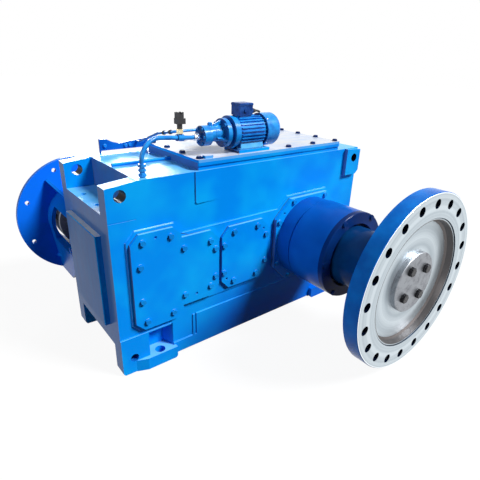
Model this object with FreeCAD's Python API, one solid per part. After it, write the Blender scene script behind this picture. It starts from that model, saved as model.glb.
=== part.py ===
import FreeCAD, Part
import math
import os

# Three-stage parallel-shaft helical speed reducer in a welded monoblock housing.
# Millimetres. The origin is the centre of the four foundation bolts on the plane
# that the feet stand on. +X runs along the length towards the output shaft, +Y runs
# to the rear where the motor lantern is, and +Z is up.

# Foundation and housing
SHAFT_Z = 440.0
FOUND_X = 1066.0
FOUND_Y = 534.0
FOUND_HOLE_R = 24.0
LEFT_OVERHANG = 188.0
RIGHT_OVERHANG = 216.0
HOUSING_WIDTH = 550.0
TOP_Z = 877.0
UNDERSIDE_Z = 10.0
PLATE_T = 68.0
END_WALL_T = 30.0
TOP_WALL_T = 30.0
FLOOR_T = 34.0

# Corner lugs at the input end
LUG_LENGTH = 128.0
LUG_TOP_FLOOR_Z = 745.0
LUG_LOW_CEILING_Z = 134.0
LUG_SLOPE_TOP = 16.0
LUG_CORNER_R = 14.0
LUG_CORNER_RUN = 8.4
LUG_CORNER_RISE = 3.0
LIFT_HOLE_R = 25.0
LIFT_HOLE_IN = 57.0
LIFT_HOLE_Z = 826.0
JACK_HOLE_R = 19.0
JACK_HOLE_Z = 80.0
JACK_HOLE_DEPTH = 40.0
CORNER_PLATE_PROUD = 6.0
CORNER_PLATE_Z = 188.0

SEAM_LENGTH = 114.0
SEAM_Z = 722.0
SEAM_W = 3.0
SEAM_DEPTH = 2.0
NOTCH_HOLE_R = 12.0
NOTCH_HOLE_IN = 36.0
NOTCH_HOLE_Y = 87.0
NOTCH_HOLE_DEPTH = 22.0

# Feet
FOOT_HALF_LENGTH = 75.0
FOOT_TOP_Z = 60.0
FOOT_PROUD = 25.0
FOOT_RAMP = 50.0
FOOT_FILLET = 14.0
POCKET_TOP_Z = 183.0
POCKET_DEPTH = 59.0
POCKET_BACK_TOP_Z = 140.0
POCKET_LEFT = 57.0
POCKET_RIGHT = 66.0
POCKET_BACK_RIGHT = 42.0
POCKET_BACK_LEFT = 50.0

# Stiffening on the side plates
STIFF_PROUD = 5.0
BASE_STRIP_TOP_Z = 70.0
LOW_PANEL_TOP_Z = 188.0
LOW_PANEL_LEFT = -340.0
RIB_LEFT = -360.0
RIB_WIDTH = 10.0
TOP_PAD_LEFT = -333.0
TOP_PAD_BOTTOM_Z = 738.0
TOP_PAD_FADE = 135.0
TOP_PAD_R = 10.0

# Shaft train, from the output shaft back to the input shaft
OUTPUT_X = 357.0
CENTRE_3 = 420.0
CENTRE_2 = 280.0
CENTRE_1 = 190.0
THIRD_X = OUTPUT_X - CENTRE_3
SECOND_X = THIRD_X - CENTRE_2
INPUT_X = SECOND_X - CENTRE_1

# Gears: teeth, face widths and middle planes
WHEEL_3_TEETH = 62
PINION_3_TEETH = 16
WHEEL_2_TEETH = 58
PINION_2_TEETH = 15
WHEEL_1_TEETH = 59
PINION_1_TEETH = 18
HELIX_DEG = 12.0
PRESSURE_DEG = 20.0
ADDENDUM = 0.95
DEDENDUM = 1.25
BACKLASH = 0.6
RIM_MODULES = 4.0
WHEEL_SECTION_COUNT = 2
PINION_SECTION_COUNT = 4
FACE_2 = 110.0
FACE_1 = 64.0
PINION_EXTRA = 6.0
WHEEL_1_WEB = (20.0, 12.0)
WHEEL_2_WEB = (30.0, 22.0)
WHEEL_3_WEB = (45.0, 36.0)
FRONT_WALL_GAP = 17.0
STAGE_3_GAP = 25.0
STAGE_2_GAP = 13.0
REAR_WALL_GAP = 15.0

# Shafts and bearings: bore, outside and width
OUTPUT_BEARING = (240.0, 320.0, 60.0)
THIRD_BEARING = (120.0, 215.0, 58.0)
SECOND_BEARING = (85.0, 150.0, 36.0)
INPUT_BEARING = (70.0, 125.0, 31.0)
BEARING_INSET = 4.0
SEAT_CLEAR = 0.05
THIRD_SEAT_STEP = 16.0
SECOND_SEAT_STEP = 10.0
OUTPUT_SEAT_STEP = 10.0
OUTPUT_SHOULDER = 24.0
SPACER_WALL = 16.0
INPUT_SHOULDER = 4.0
ROLLERS_PER_BEARING = 14
ROLLER_CLEAR = 0.4
RING_SHARE = 0.24
ROLLER_END = 5.0

# Pads and covers on both side plates
PAD_T = 7.0
PAD_MARGIN = 11.0
COVER_T = 14.0
OUTPUT_COVER_T = 22.0
LEFT_COVER_HALF = (116.0, 224.0)
LEFT_COVER_CHAMFER = (39.0, 40.0)
NECK_HALF_HEIGHT = 168.0
NECK_END = 122.0
NECK_CHAMFER = 46.0
PAD_STRIP_EXTRA = 14.0
MID_COVER_HALF = (141.0, 160.0)
MID_COVER_CHAMFER = (40.0, 44.0)
MID_BOLT_R = 147.0
OUTPUT_COVER_RIM = (13.0, 11.0)
OUTPUT_BOLT_OUT = 23.0
OUTPUT_COVER_CHAMFER = (96.0, 94.0)
SPIGOT_WALL = 14.0
KEYHOLE_BOLTS = ((64.0, 186.0), (-64.0, 186.0), (-80.0, 81.0))
NECK_BOLTS = ((-64.0, 116.0), (74.0, 115.0), (102.0, 71.0))
PAIR_DEG = (29.0, 61.0)
JACK_R = 6.0
JACK_DEPTH = 9.0
KEYHOLE_JACKS = ((-5.0, 197.0), (187.0, -130.0))
MID_JACKS = ((-112.0, -108.0), (112.0, 108.0))
OUTPUT_JACKS = ((-178.0, 160.0), (178.0, -160.0))

# Output sleeve, flange coupling and end plate
SLEEVE_R = 221.0
SLEEVE_WALL = 35.0
SLEEVE_END = 341.0
COLLAR_STEP = 4.0
COLLAR_LENGTH = 82.0
GROOVE_DEPTH = 10.0
GROOVE_LENGTH = 10.0
SLEEVE_RING_T = 26.0
SLEEVE_RING_LIP = 21.0
SLEEVE_BOLT_IN = 13.0
SLEEVE_BOLTS = 6
SLEEVE_FIRST_DEG = 58.0
SEAL_WALL = 22.0
SEAL_START = 6.0
SEAL_ROOM = 28.0
INPUT_SEAL_WALL = 20.0
COVER_BORE_IN = 26.0
HUB_GAP = 15.0
HUB_START = 322.0
FLANGE_BACK = 618.0
FLANGE_T = 72.0
FLANGE_R = 410.0
FLANGE_HOLE_IN = 47.5
FLANGE_HOLES = 20
FLANGE_HOLE_R = 21.0
FLANGE_FIRST_DEG = 87.5
FLANGE_RING = 110.0
RECESS_DEPTH = 40.0
RECESS_LEDGE = 10.0
RECESS_STEP = 4.0
OUTPUT_END_D = 230.0
END_PLATE_R = 141.0
END_PLATE_T = 24.0
END_BOLT_R = 88.0
END_BOLT_DEG = 36.5
END_BOLTS = 4

# Input lantern
LANTERN_FACE = 417.0
LANTERN_FLANGE_T = 28.0
LANTERN_R = 343.0
LANTERN_HOLE_R = 12.0
LANTERN_PCD = 600.0
LANTERN_HOLES = 8
LANTERN_PILOT_R = 275.0
LANTERN_PILOT_DEPTH = 8.0
LANTERN_BODY_R = 186.0
LANTERN_WALL = 20.0
LANTERN_FOOT_R = 180.0
LANTERN_FOOT_T = 24.0
LANTERN_FOOT_BOLT_R = 164.0
LANTERN_ROOT_R = 145.0
LANTERN_ROOT_LENGTH = 16.0
LANTERN_CONE = 64.0
WINDOW_FROM = 90.0
WINDOW_TO = 340.0
WINDOW_HALF_HEIGHT = 95.0
LANTERN_RIB_DEG = (55.0, 125.0, 235.0, 305.0)
LANTERN_RIB_T = 16.0
LANTERN_RIB_OUT = 285.0
INPUT_SHAFT_D = 60.0
INPUT_SHAFT_END = 318.0
KEY_W = 18.0
KEY_DEPTH = 7.0
KEY_PROUD = 4.2
KEY_CLEAR = 0.05
KEY_FROM = 6.0
KEY_END = 14.0
SHAFT_END_GAP = 7.0
COUPLING_GAP = 11.0
COUPLING_HUB_R = 75.0
COUPLING_START = 190.0
COUPLING_LENGTH = 225.0
COUPLING_RIM_LENGTH = 106.0
COUPLING_MOUTH_R = 66.0
COUPLING_POCKETS = 8
POCKET_FIRST_DEG = 10.0
POCKET_HALF = 17.0
POCKET_BITE = 45.0
POCKET_LENGTH = 80.0
BUFFER_CLEAR = 0.3

# Support box under the lantern
WEB_IN = 40.0
WEB_T = 14.0
WEB_BOTTOM_Z = 126.0
WEB_BELOW = 50.0
WEB_LEAN_DEG = 7.5
WEB_FLAT = 200.0
WEB_STEP = 12.0
WEB_RISE = 124.0

# Inspection frame and cover
COVER_X0 = -316.0
COVER_X1 = 587.0
COVER_FRONT_IN = 2.0
COVER_REAR_IN = 80.0
FRAME_H = 18.0
FRAME_INSET = 5.0
FRAME_FLANGE_T = 15.0
FRAME_CORNER_R = 6.0
TOP_COVER_T = 12.0
HATCH_BORDER = 62.0
HATCH_FRONT_BORDER = 86.0
BOSS_LENGTH = 40.0
BOSS_WIDTH = 22.0
BOSS_H = 12.0
BOSS_IN = 40.0
TOP_BOLT_INSET = (23.0, 13.0, 26.0, 24.0)
TOP_BOLTS_LONG = 6

# End cover at the input end
END_COVER_T = 25.0
END_COVER_IN = 92.0
END_COVER_Z = (228.0, 648.0)
END_PORT_BORDER = 40.0

# Lifting plates at the output end
OUT_LUG_T = 20.0
OUT_LUG_LENGTH = 110.0
OUT_LUG_BOTTOM_Z = 732.0
OUT_LUG_CHAMFER = 20.0
OUT_LUG_HOLE_R = 22.0
OUT_LUG_HOLE_IN = 50.0

# Lubrication set on the cover
PUMP_IN = 80.0
PUMP_Z = 1010.0
BRACKET_TOP_Z = 935.0
BRACKET_T = 6.0
BRACKET_X0 = -84.0
BRACKET_X1 = 95.0
BRACKET_HALF = 58.0
BRACKET_REACH = 44.0
MOTOR_FLANGE_X = -112.0
MOTOR_FLANGE_T = 14.0
MOTOR_FLANGE_R = 72.0
MOTOR_NECK_R = 50.0
STATOR_X0 = -80.0
STATOR_X1 = 62.0
STATOR_R = 63.0
FIN_R = 71.0
FIN_T = 4.0
FIN_COUNT = 28
COWL_GAP = 6.0
COWL_X1 = 150.0
COWL_R = 75.0
COWL_WALL = 3.0
ROTOR_R = 38.0
ROTOR_SHAFT_R = 9.5
ROTOR_REACH = 42.0
SHIELD_CLEAR = 0.4
FAN_R = 62.0
FAN_BLADE_COUNT = 6
FAN_W = 24.0
FAN_FROM = 14.0
FAN_SEAT_STEP = 1.5
TERMINAL_X0 = -67.0
TERMINAL_LENGTH = 72.0
TERMINAL_HALF = 32.0
TERMINAL_H = 42.0
TERMINAL_WALL = 4.0
TERMINAL_LID_T = 11.0
GLAND_R = 9.0
PUMP_X0 = -253.0
PUMP_COVER_T = 14.0
PUMP_DISC_T = 38.0
PUMP_LENGTH = 61.0
PUMP_R = 43.0
PUMP_DISC_DROP = 6.0
PUMP_NECK_R = 34.0
PUMP_SHAFT_R = 8.0
PUMP_IDLER_R = 5.0
PUMP_SHAFT_OUT = 26.0
PUMP_SHAFT_IN = 8.0
PLUG_AF = 19.0
PLUG_H = 11.0
BELL_FLANGE_X = -146.0
BELL_FLANGE_T = 20.0
BELL_FLANGE_R = 62.0
BELL_R = 34.0
BELL_WALL = 6.0
BELL_RIB_T = 9.0
SMALL_BOLT_IN = 9.0
BELL_RIB_DEG = (90.0, 210.0, 330.0)
PUMP_COUPLING_R = 21.0
PUMP_GEAR_TEETH = 10
PUMP_GEAR_R = 13.0
PUMP_GEAR_W = 20.0

# Pipes
PIPE_R = 9.0
PIPE_BORE_R = 7.0
PIPE_BEND_R = 84.0
PIPE_END = 24.0
PIPE_LEAD = 20.0
FITTING_SEAT = 30.0
PIPE_DROP = 9.0
PIPE_RISE = 26.0
PIPE_UNION_R = 13.0
UNION_SLEEVE = 10.0
PIPE_NUT_AF = 27.0
FITTING_TOP = 52.0
FITTING_NUTS = ((4.0, 14.0), (24.0, 12.0), (40.0, 12.0))
PIPE_FOOT_X = -552.0
PIPE_FOOT_IN = 32.0
SUCTION_PIPE_R = 6.0
SUCTION_WALL = 1.5
SUCTION_PORT = 48.0
SUCTION_REACH = 14.0
SUCTION_SEAT = 9.0
SUCTION_TURN_X = -342.0
SUCTION_LIP = 8.0
SUCTION_FALL_Y = 20.0
SUCTION_LOW_IN = 50.0
SUCTION_FALL = 26.0
SUCTION_END_Z = 921.0
SUCTION_BEND_R = 22.0
SWITCH_X = -360.0
SWITCH_BOSS = 8.0
TEE_WALL = 5.0
TEE_LENGTH = 32.0
SWITCH_AF = 27.0
SWITCH_HEX_H = 18.0

# Rear pipe rail and the sensor line on the top wall
RAIL_X0 = -531.0
RAIL_X1 = -282.0
RAIL_IN = 7.0
RAIL_T = 14.0
RAIL_LOW = 12.0
RAIL_BOLT_SPOTS = ((24, 36), (128, 28), (150, 30))
RAIL_EDGE = ((160, 48), (96, 40), (62, 50), (36, 64), (0, 66))
RAIL_RIGHT_H = 58.0
SENSOR_LINE_Y = -22.0
SENSOR_LINE_R = 7.0
SENSOR_BLOCK = (24.0, 12.0, 17.0)

# Fasteners: across flats and head height
COVER_BOLT_AF = 24.0
COVER_BOLT_HEAD = 10.0
TOP_BOLT_AF = 24.0
TOP_BOLT_HEAD = 10.0
END_PLATE_BOLT_AF = 36.0
END_PLATE_BOLT_HEAD = 15.0
END_PLATE_BOLT_R = 12.0
END_PLATE_BOLT_LENGTH = 60.0
SLEEVE_BOLT_AF = 24.0
SMALL_BOLT_AF = 13.0
SMALL_BOLT_HEAD = 6.0

# Values that follow from the driving sizes
LEFT_X = -FOUND_X / 2 - LEFT_OVERHANG
RIGHT_X = FOUND_X / 2 + RIGHT_OVERHANG
HALF_WIDTH = HOUSING_WIDTH / 2
COVER_Y0 = -HALF_WIDTH + COVER_FRONT_IN
COVER_Y1 = HALF_WIDTH - COVER_REAR_IN
END_COVER_HALF = HALF_WIDTH - END_COVER_IN
PUMP_Y = -HALF_WIDTH + PUMP_IN
PIPE_FOOT_Y = -HALF_WIDTH + PIPE_FOOT_IN
RAIL_Y = HALF_WIDTH - RAIL_IN
SUCTION_LOW_Y = HALF_WIDTH - SUCTION_LOW_IN
INNER_HALF = HALF_WIDTH - PLATE_T
CAVITY_X0 = LEFT_X + END_WALL_T
CAVITY_X1 = RIGHT_X - END_WALL_T
NOTCH_X = LEFT_X + LUG_LENGTH
PAD_FACE = HALF_WIDTH + PAD_T
COVER_FACE = PAD_FACE + COVER_T
OUTPUT_FACE = PAD_FACE + OUTPUT_COVER_T
COVER_TOP_Z = TOP_Z + FRAME_H + FRAME_FLANGE_T + TOP_COVER_T
FACE_3 = 2 * INNER_HALF - FRONT_WALL_GAP - STAGE_3_GAP - FACE_2 - STAGE_2_GAP - FACE_1 - REAR_WALL_GAP
MID_3 = -INNER_HALF + FRONT_WALL_GAP + FACE_3 / 2
MID_1 = INNER_HALF - REAR_WALL_GAP - FACE_1 / 2
MID_2 = MID_1 - FACE_1 / 2 - STAGE_2_GAP - FACE_2 / 2
COLLAR_R = SLEEVE_R - COLLAR_STEP
GROOVE_R = SLEEVE_R - GROOVE_DEPTH
SLEEVE_BORE_R = SLEEVE_R - SLEEVE_WALL
SLEEVE_RING_R = SLEEVE_BORE_R - SLEEVE_RING_LIP
HUB_R = SLEEVE_RING_R - HUB_GAP
OUTPUT_COVER_HALF = (COLLAR_R + OUTPUT_COVER_RIM[0], COLLAR_R + OUTPUT_COVER_RIM[1])
OUTPUT_BOLT_R = COLLAR_R + OUTPUT_BOLT_OUT
RECESS_STEP_R = FLANGE_R - FLANGE_RING
RECESS_R = RECESS_STEP_R - RECESS_LEDGE
COUPLING_R = LANTERN_BODY_R - LANTERN_WALL - COUPLING_GAP
WEB_X = LANTERN_BODY_R - WEB_IN
PUMP_BODY_X1 = PUMP_X0 + PUMP_LENGTH
PIPE_RUN_X = PUMP_X0 - PIPE_END - PIPE_LEAD
SWITCH_RUN = (PIPE_RUN_X - SWITCH_X) / (PIPE_RUN_X - PIPE_FOOT_X)
SWITCH_Y = PUMP_Y + (PIPE_FOOT_Y - PUMP_Y) * SWITCH_RUN
SWITCH_Z = PUMP_Z - PIPE_DROP + PIPE_RISE * SWITCH_RUN


def vec(x, y, z):
    return FreeCAD.Vector(x, y, z)


def box(x0, x1, y0, y1, z0, z1):
    return Part.makeBox(x1 - x0, y1 - y0, z1 - z0, vec(x0, y0, z0))


def cyl_x(x0, x1, y, z, r):
    return Part.makeCylinder(r, x1 - x0, vec(x0, y, z), vec(1, 0, 0))


def cyl_y(x, z, r, y0, y1):
    return Part.makeCylinder(r, y1 - y0, vec(x, y0, z), vec(0, 1, 0))


def cyl_z(x, y, r, z0, z1):
    return Part.makeCylinder(r, z1 - z0, vec(x, y, z0), vec(0, 0, 1))


def ring_y(x, z, r_out, r_in, y0, y1):
    return cyl_y(x, z, r_out, y0, y1).cut(cyl_y(x, z, r_in, y0 - 1, y1 + 1))


def ring_x(x0, x1, y, z, r_out, r_in):
    return cyl_x(x0, x1, y, z, r_out).cut(cyl_x(x0 - 1, x1 + 1, y, z, r_in))


def prism_y(points, y0, y1):
    """Extrude an outline of (x, z) points from y0 to y1."""
    loop = [vec(x, y0, z) for x, z in points]
    face = Part.Face(Part.makePolygon(loop + [loop[0]]))
    return face.extrude(vec(0, y1 - y0, 0))


def prism_x(points, x0, x1):
    """Extrude an outline of (y, z) points from x0 to x1."""
    loop = [vec(x0, y, z) for y, z in points]
    face = Part.Face(Part.makePolygon(loop + [loop[0]]))
    return face.extrude(vec(x1 - x0, 0, 0))


def turned_y(x, z, profile):
    """Turn a closed profile of (radius, y) points about an axis along Y."""
    loop = [vec(x + r, y, z) for r, y in profile]
    face = Part.Face(Part.makePolygon(loop + [loop[0]]))
    return face.revolve(vec(x, 0, z), vec(0, 1, 0), 360)


def turned_x(y, z, profile):
    """Turn a closed profile of (radius, x) points about an axis along X."""
    loop = [vec(x, y, z + r) for r, x in profile]
    face = Part.Face(Part.makePolygon(loop + [loop[0]]))
    return face.revolve(vec(0, y, z), vec(1, 0, 0), 360)


def octagon(x, z, half, chamfer):
    """Rectangle outline about (x, z) with its four corners cut."""
    hx, hz = half
    cx, cz = chamfer
    corners = [(hx - cx, hz), (hx, hz - cz)]
    right = corners + [(px, -pz) for px, pz in reversed(corners)]
    left = [(-px, pz) for px, pz in reversed(right)]
    return [(x + px, z + pz) for px, pz in right + left]


def fuse_all(shapes):
    """Join solids into one and merge the faces that continue each other."""
    body = shapes[0]
    if len(shapes) > 1:
        body = body.fuse(shapes[1:])
    return body.removeSplitter()


def both_sides(shape):
    """The shape and its mirror image in the middle plane of the housing."""
    return [shape, shape.mirror(vec(0, 0, 0), vec(0, 1, 0))]


def around(x, z, radius, count, first_deg):
    """Points evenly spaced on a circle in a plane across Y."""
    angles = [math.radians(first_deg + 360.0 * k / count) for k in range(count)]
    return [(x + radius * math.cos(a), z + radius * math.sin(a)) for a in angles]


def hex_outline(across_flats):
    corner = across_flats / math.sqrt(3)
    return [(corner * math.cos(math.radians(60 * k)), corner * math.sin(math.radians(60 * k)))
            for k in range(6)]


def hex_head_y(x, z, y_face, side, across_flats, height):
    """A hexagon head standing on a face across Y; side is -1 for the front."""
    points = [(x + px, z + pz) for px, pz in hex_outline(across_flats)]
    return prism_y(points, min(y_face, y_face + side * height), max(y_face, y_face + side * height))


def hex_head_z(x, y, z_face, across_flats, height):
    loop = [vec(x + px, y + py, z_face) for px, py in hex_outline(across_flats)]
    face = Part.Face(Part.makePolygon(loop + [loop[0]]))
    return face.extrude(vec(0, 0, height))


def hex_head_x(x_face, y, z, side, across_flats, height):
    points = [(y + py, z + pz) for py, pz in hex_outline(across_flats)]
    return prism_x(points, min(x_face, x_face + side * height), max(x_face, x_face + side * height))


def export(name, *solids):
    """Write one node; several solids stay separate inside it."""
    shape = solids[0] if len(solids) == 1 else Part.makeCompound(list(solids))
    shape.exportStep("parts/" + name + ".step")


# Housing

def side_plate_outline():
    """The outline of a side plate with sloped lug tips and a raised underside."""
    foot_l = -FOUND_X / 2
    foot_r = FOUND_X / 2
    return [
        (LEFT_X, LUG_CORNER_R),
        (LEFT_X + LUG_CORNER_RUN, LUG_CORNER_RISE),
        (foot_l - FOOT_HALF_LENGTH, 0.0),
        (foot_l + FOOT_HALF_LENGTH, 0.0),
        (foot_l + FOOT_HALF_LENGTH, UNDERSIDE_Z),
        (foot_r - FOOT_HALF_LENGTH, UNDERSIDE_Z),
        (foot_r - FOOT_HALF_LENGTH, 0.0),
        (foot_r + FOOT_HALF_LENGTH, 0.0),
        (RIGHT_X - LUG_CORNER_RUN, LUG_CORNER_RISE),
        (RIGHT_X, LUG_CORNER_R),
        (RIGHT_X, TOP_Z),
        (NOTCH_X, TOP_Z),
        (LEFT_X + LUG_LENGTH - 10.0, TOP_Z - 3.0),
        (LEFT_X, TOP_Z - LUG_SLOPE_TOP),
    ]


def middle_outline(inset):
    """Section of the box between the side plates, taken in by a wall thickness."""
    floor = UNDERSIDE_Z + (FLOOR_T if inset else 0.0)
    roof = TOP_Z - (TOP_WALL_T if inset else 0.0)
    wall = END_WALL_T if inset else 0.0
    return [
        (LEFT_X + wall, LUG_LOW_CEILING_Z + wall),
        (NOTCH_X + wall, LUG_LOW_CEILING_Z + wall),
        (NOTCH_X + wall, floor),
        (RIGHT_X - wall, floor),
        (RIGHT_X - wall, roof),
        (NOTCH_X + wall, roof),
        (NOTCH_X + wall, LUG_TOP_FLOOR_Z - wall),
        (LEFT_X + wall, LUG_TOP_FLOOR_Z - wall),
    ]


def neck_outline():
    """The part of the keyhole cover that reaches over the second shaft."""
    top = SHAFT_Z + NECK_HALF_HEIGHT
    bottom = SHAFT_Z - NECK_HALF_HEIGHT
    end = SECOND_X + NECK_END
    cut = NECK_CHAMFER
    return [
        (INPUT_X, bottom), (end - cut, bottom), (end, bottom + cut),
        (end, top - cut), (end - cut, top), (INPUT_X, top),
    ]


def pad_solids():
    """Machined pads that the shaft covers are bolted to, on the front plate."""
    y0 = -PAD_FACE
    y1 = -HALF_WIDTH + 1.0
    strip_half = NECK_HALF_HEIGHT + PAD_STRIP_EXTRA
    left = octagon(INPUT_X, SHAFT_Z, grown(LEFT_COVER_HALF), LEFT_COVER_CHAMFER)
    right = octagon(OUTPUT_X, SHAFT_Z, grown(OUTPUT_COVER_HALF), OUTPUT_COVER_CHAMFER)
    strip = box(INPUT_X, OUTPUT_X, y0, y1, SHAFT_Z - strip_half, SHAFT_Z + strip_half)
    return [prism_y(left, y0, y1), strip, prism_y(right, y0, y1)]


def grown(half):
    return (half[0] + PAD_MARGIN, half[1] + PAD_MARGIN)


def foot_solids():
    """One foot block at each bolt row, proud of the front plate, with its ramp."""
    front = -HALF_WIDTH - FOOT_PROUD
    back = -HALF_WIDTH + 1.0
    blocks = []
    for centre in (-FOUND_X / 2, FOUND_X / 2):
        block = box(centre - FOOT_HALF_LENGTH, centre + FOOT_HALF_LENGTH, front, back, 0, FOOT_TOP_Z)
        inner = centre + FOOT_HALF_LENGTH if centre < 0 else centre - FOOT_HALF_LENGTH
        blocks.append(fillet_edges_along_y(block, inner, 0.0, FOOT_FILLET))
    ramp_end = -FOUND_X / 2 - FOOT_HALF_LENGTH
    step = -HALF_WIDTH - CORNER_PLATE_PROUD
    ramp = [vec(ramp_end, back, 0), vec(ramp_end, front, 0), vec(ramp_end - FOOT_RAMP, step, 0),
            vec(ramp_end - FOOT_RAMP, back, 0)]
    face = Part.Face(Part.makePolygon(ramp + [ramp[0]]))
    blocks.append(face.extrude(vec(0, 0, FOOT_TOP_Z)))
    return blocks


def fillet_edges_along_y(solid, x, z, radius):
    """Round the edge that runs along Y through (x, z)."""
    edges = []
    for edge in solid.Edges:
        ends = [v.Point for v in edge.Vertexes]
        if all(abs(p.x - x) < 0.01 and abs(p.z - z) < 0.01 for p in ends):
            edges.append(edge)
    return solid.makeFillet(radius, edges)


def corner_plate():
    """Plate that thickens the lower corner lug round the jacking hole."""
    x1 = -FOUND_X / 2 + POCKET_LEFT
    points = [(LEFT_X, LUG_CORNER_R), (LEFT_X + LUG_CORNER_RUN, LUG_CORNER_RISE), (x1, 0.0),
              (x1, CORNER_PLATE_Z), (LEFT_X, CORNER_PLATE_Z)]
    return prism_y(points, -HALF_WIDTH - CORNER_PLATE_PROUD, -HALF_WIDTH + 1.0)


def stiffeners():
    """Base strip, upright rib and lower panel welded on the front plate."""
    y0 = -HALF_WIDTH - STIFF_PROUD
    y1 = -HALF_WIDTH + 1.0
    right = FOUND_X / 2 - FOOT_HALF_LENGTH
    left = -FOUND_X / 2 + POCKET_RIGHT
    base = box(left, right, y0, y1, UNDERSIDE_Z, BASE_STRIP_TOP_Z)
    rib = box(RIB_LEFT, RIB_LEFT + RIB_WIDTH, y0, y1, BASE_STRIP_TOP_Z - 1, LOW_PANEL_TOP_Z)
    panel = box(LOW_PANEL_LEFT, right, y0, y1, BASE_STRIP_TOP_Z - 1, LOW_PANEL_TOP_Z)
    return [base, rib, panel]


def top_pad():
    """Raised pad under the cover frame that fades into the plate to the right."""
    left = TOP_PAD_LEFT
    points = [vec(left, -HALF_WIDTH - STIFF_PROUD, 0), vec(left + TOP_PAD_FADE, -HALF_WIDTH, 0),
              vec(left + TOP_PAD_FADE, -HALF_WIDTH + 1, 0), vec(left, -HALF_WIDTH + 1, 0)]
    loop = [p + vec(0, 0, TOP_PAD_BOTTOM_Z) for p in points]
    wedge = Part.Face(Part.makePolygon(loop + [loop[0]])).extrude(vec(0, 0, TOP_Z - TOP_PAD_BOTTOM_Z))
    return fillet_edges_along_y(wedge, left, TOP_PAD_BOTTOM_Z, TOP_PAD_R)


def foot_pocket(centre, mirror_x):
    """Pocket above a foundation bolt: open to the front, narrower at its back."""
    sign = -1.0 if mirror_x else 1.0
    front = -HALF_WIDTH - FOOT_PROUD - 1.0
    mouth = -HALF_WIDTH
    back = -HALF_WIDTH + POCKET_DEPTH

    def loop(y, left, right, top):
        xs = (centre - sign * left, centre + sign * right)
        pts = [vec(xs[0], y, FOOT_TOP_Z), vec(xs[1], y, FOOT_TOP_Z), vec(xs[1], y, top), vec(xs[0], y, top)]
        return Part.makePolygon(pts + [pts[0]])

    wide = loop(mouth, POCKET_LEFT, POCKET_RIGHT, POCKET_TOP_Z)
    narrow = loop(back, POCKET_BACK_LEFT, POCKET_BACK_RIGHT, POCKET_BACK_TOP_Z)
    inner = Part.makeLoft([wide, narrow], True, True)
    lo = min(centre - sign * POCKET_LEFT, centre + sign * POCKET_RIGHT)
    hi = max(centre - sign * POCKET_LEFT, centre + sign * POCKET_RIGHT)
    mouth_box = box(lo, hi, front, mouth, FOOT_TOP_Z, POCKET_TOP_Z)
    return [inner, mouth_box]


def out_lug():
    """Lifting plate welded on the front plate at the output end."""
    x0 = RIGHT_X - OUT_LUG_LENGTH
    points = [(x0, OUT_LUG_BOTTOM_Z), (RIGHT_X - OUT_LUG_CHAMFER, OUT_LUG_BOTTOM_Z),
              (RIGHT_X, OUT_LUG_BOTTOM_Z + OUT_LUG_CHAMFER), (RIGHT_X, TOP_Z - 8.0), (x0, TOP_Z)]
    return prism_y(points, -HALF_WIDTH - OUT_LUG_T, -HALF_WIDTH + 1.0)


def shaft_seats():
    """Centre, bearing and cover spigot data of the four shafts."""
    return [
        (INPUT_X, INPUT_BEARING),
        (SECOND_X, SECOND_BEARING),
        (THIRD_X, THIRD_BEARING),
        (OUTPUT_X, OUTPUT_BEARING),
    ]


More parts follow.
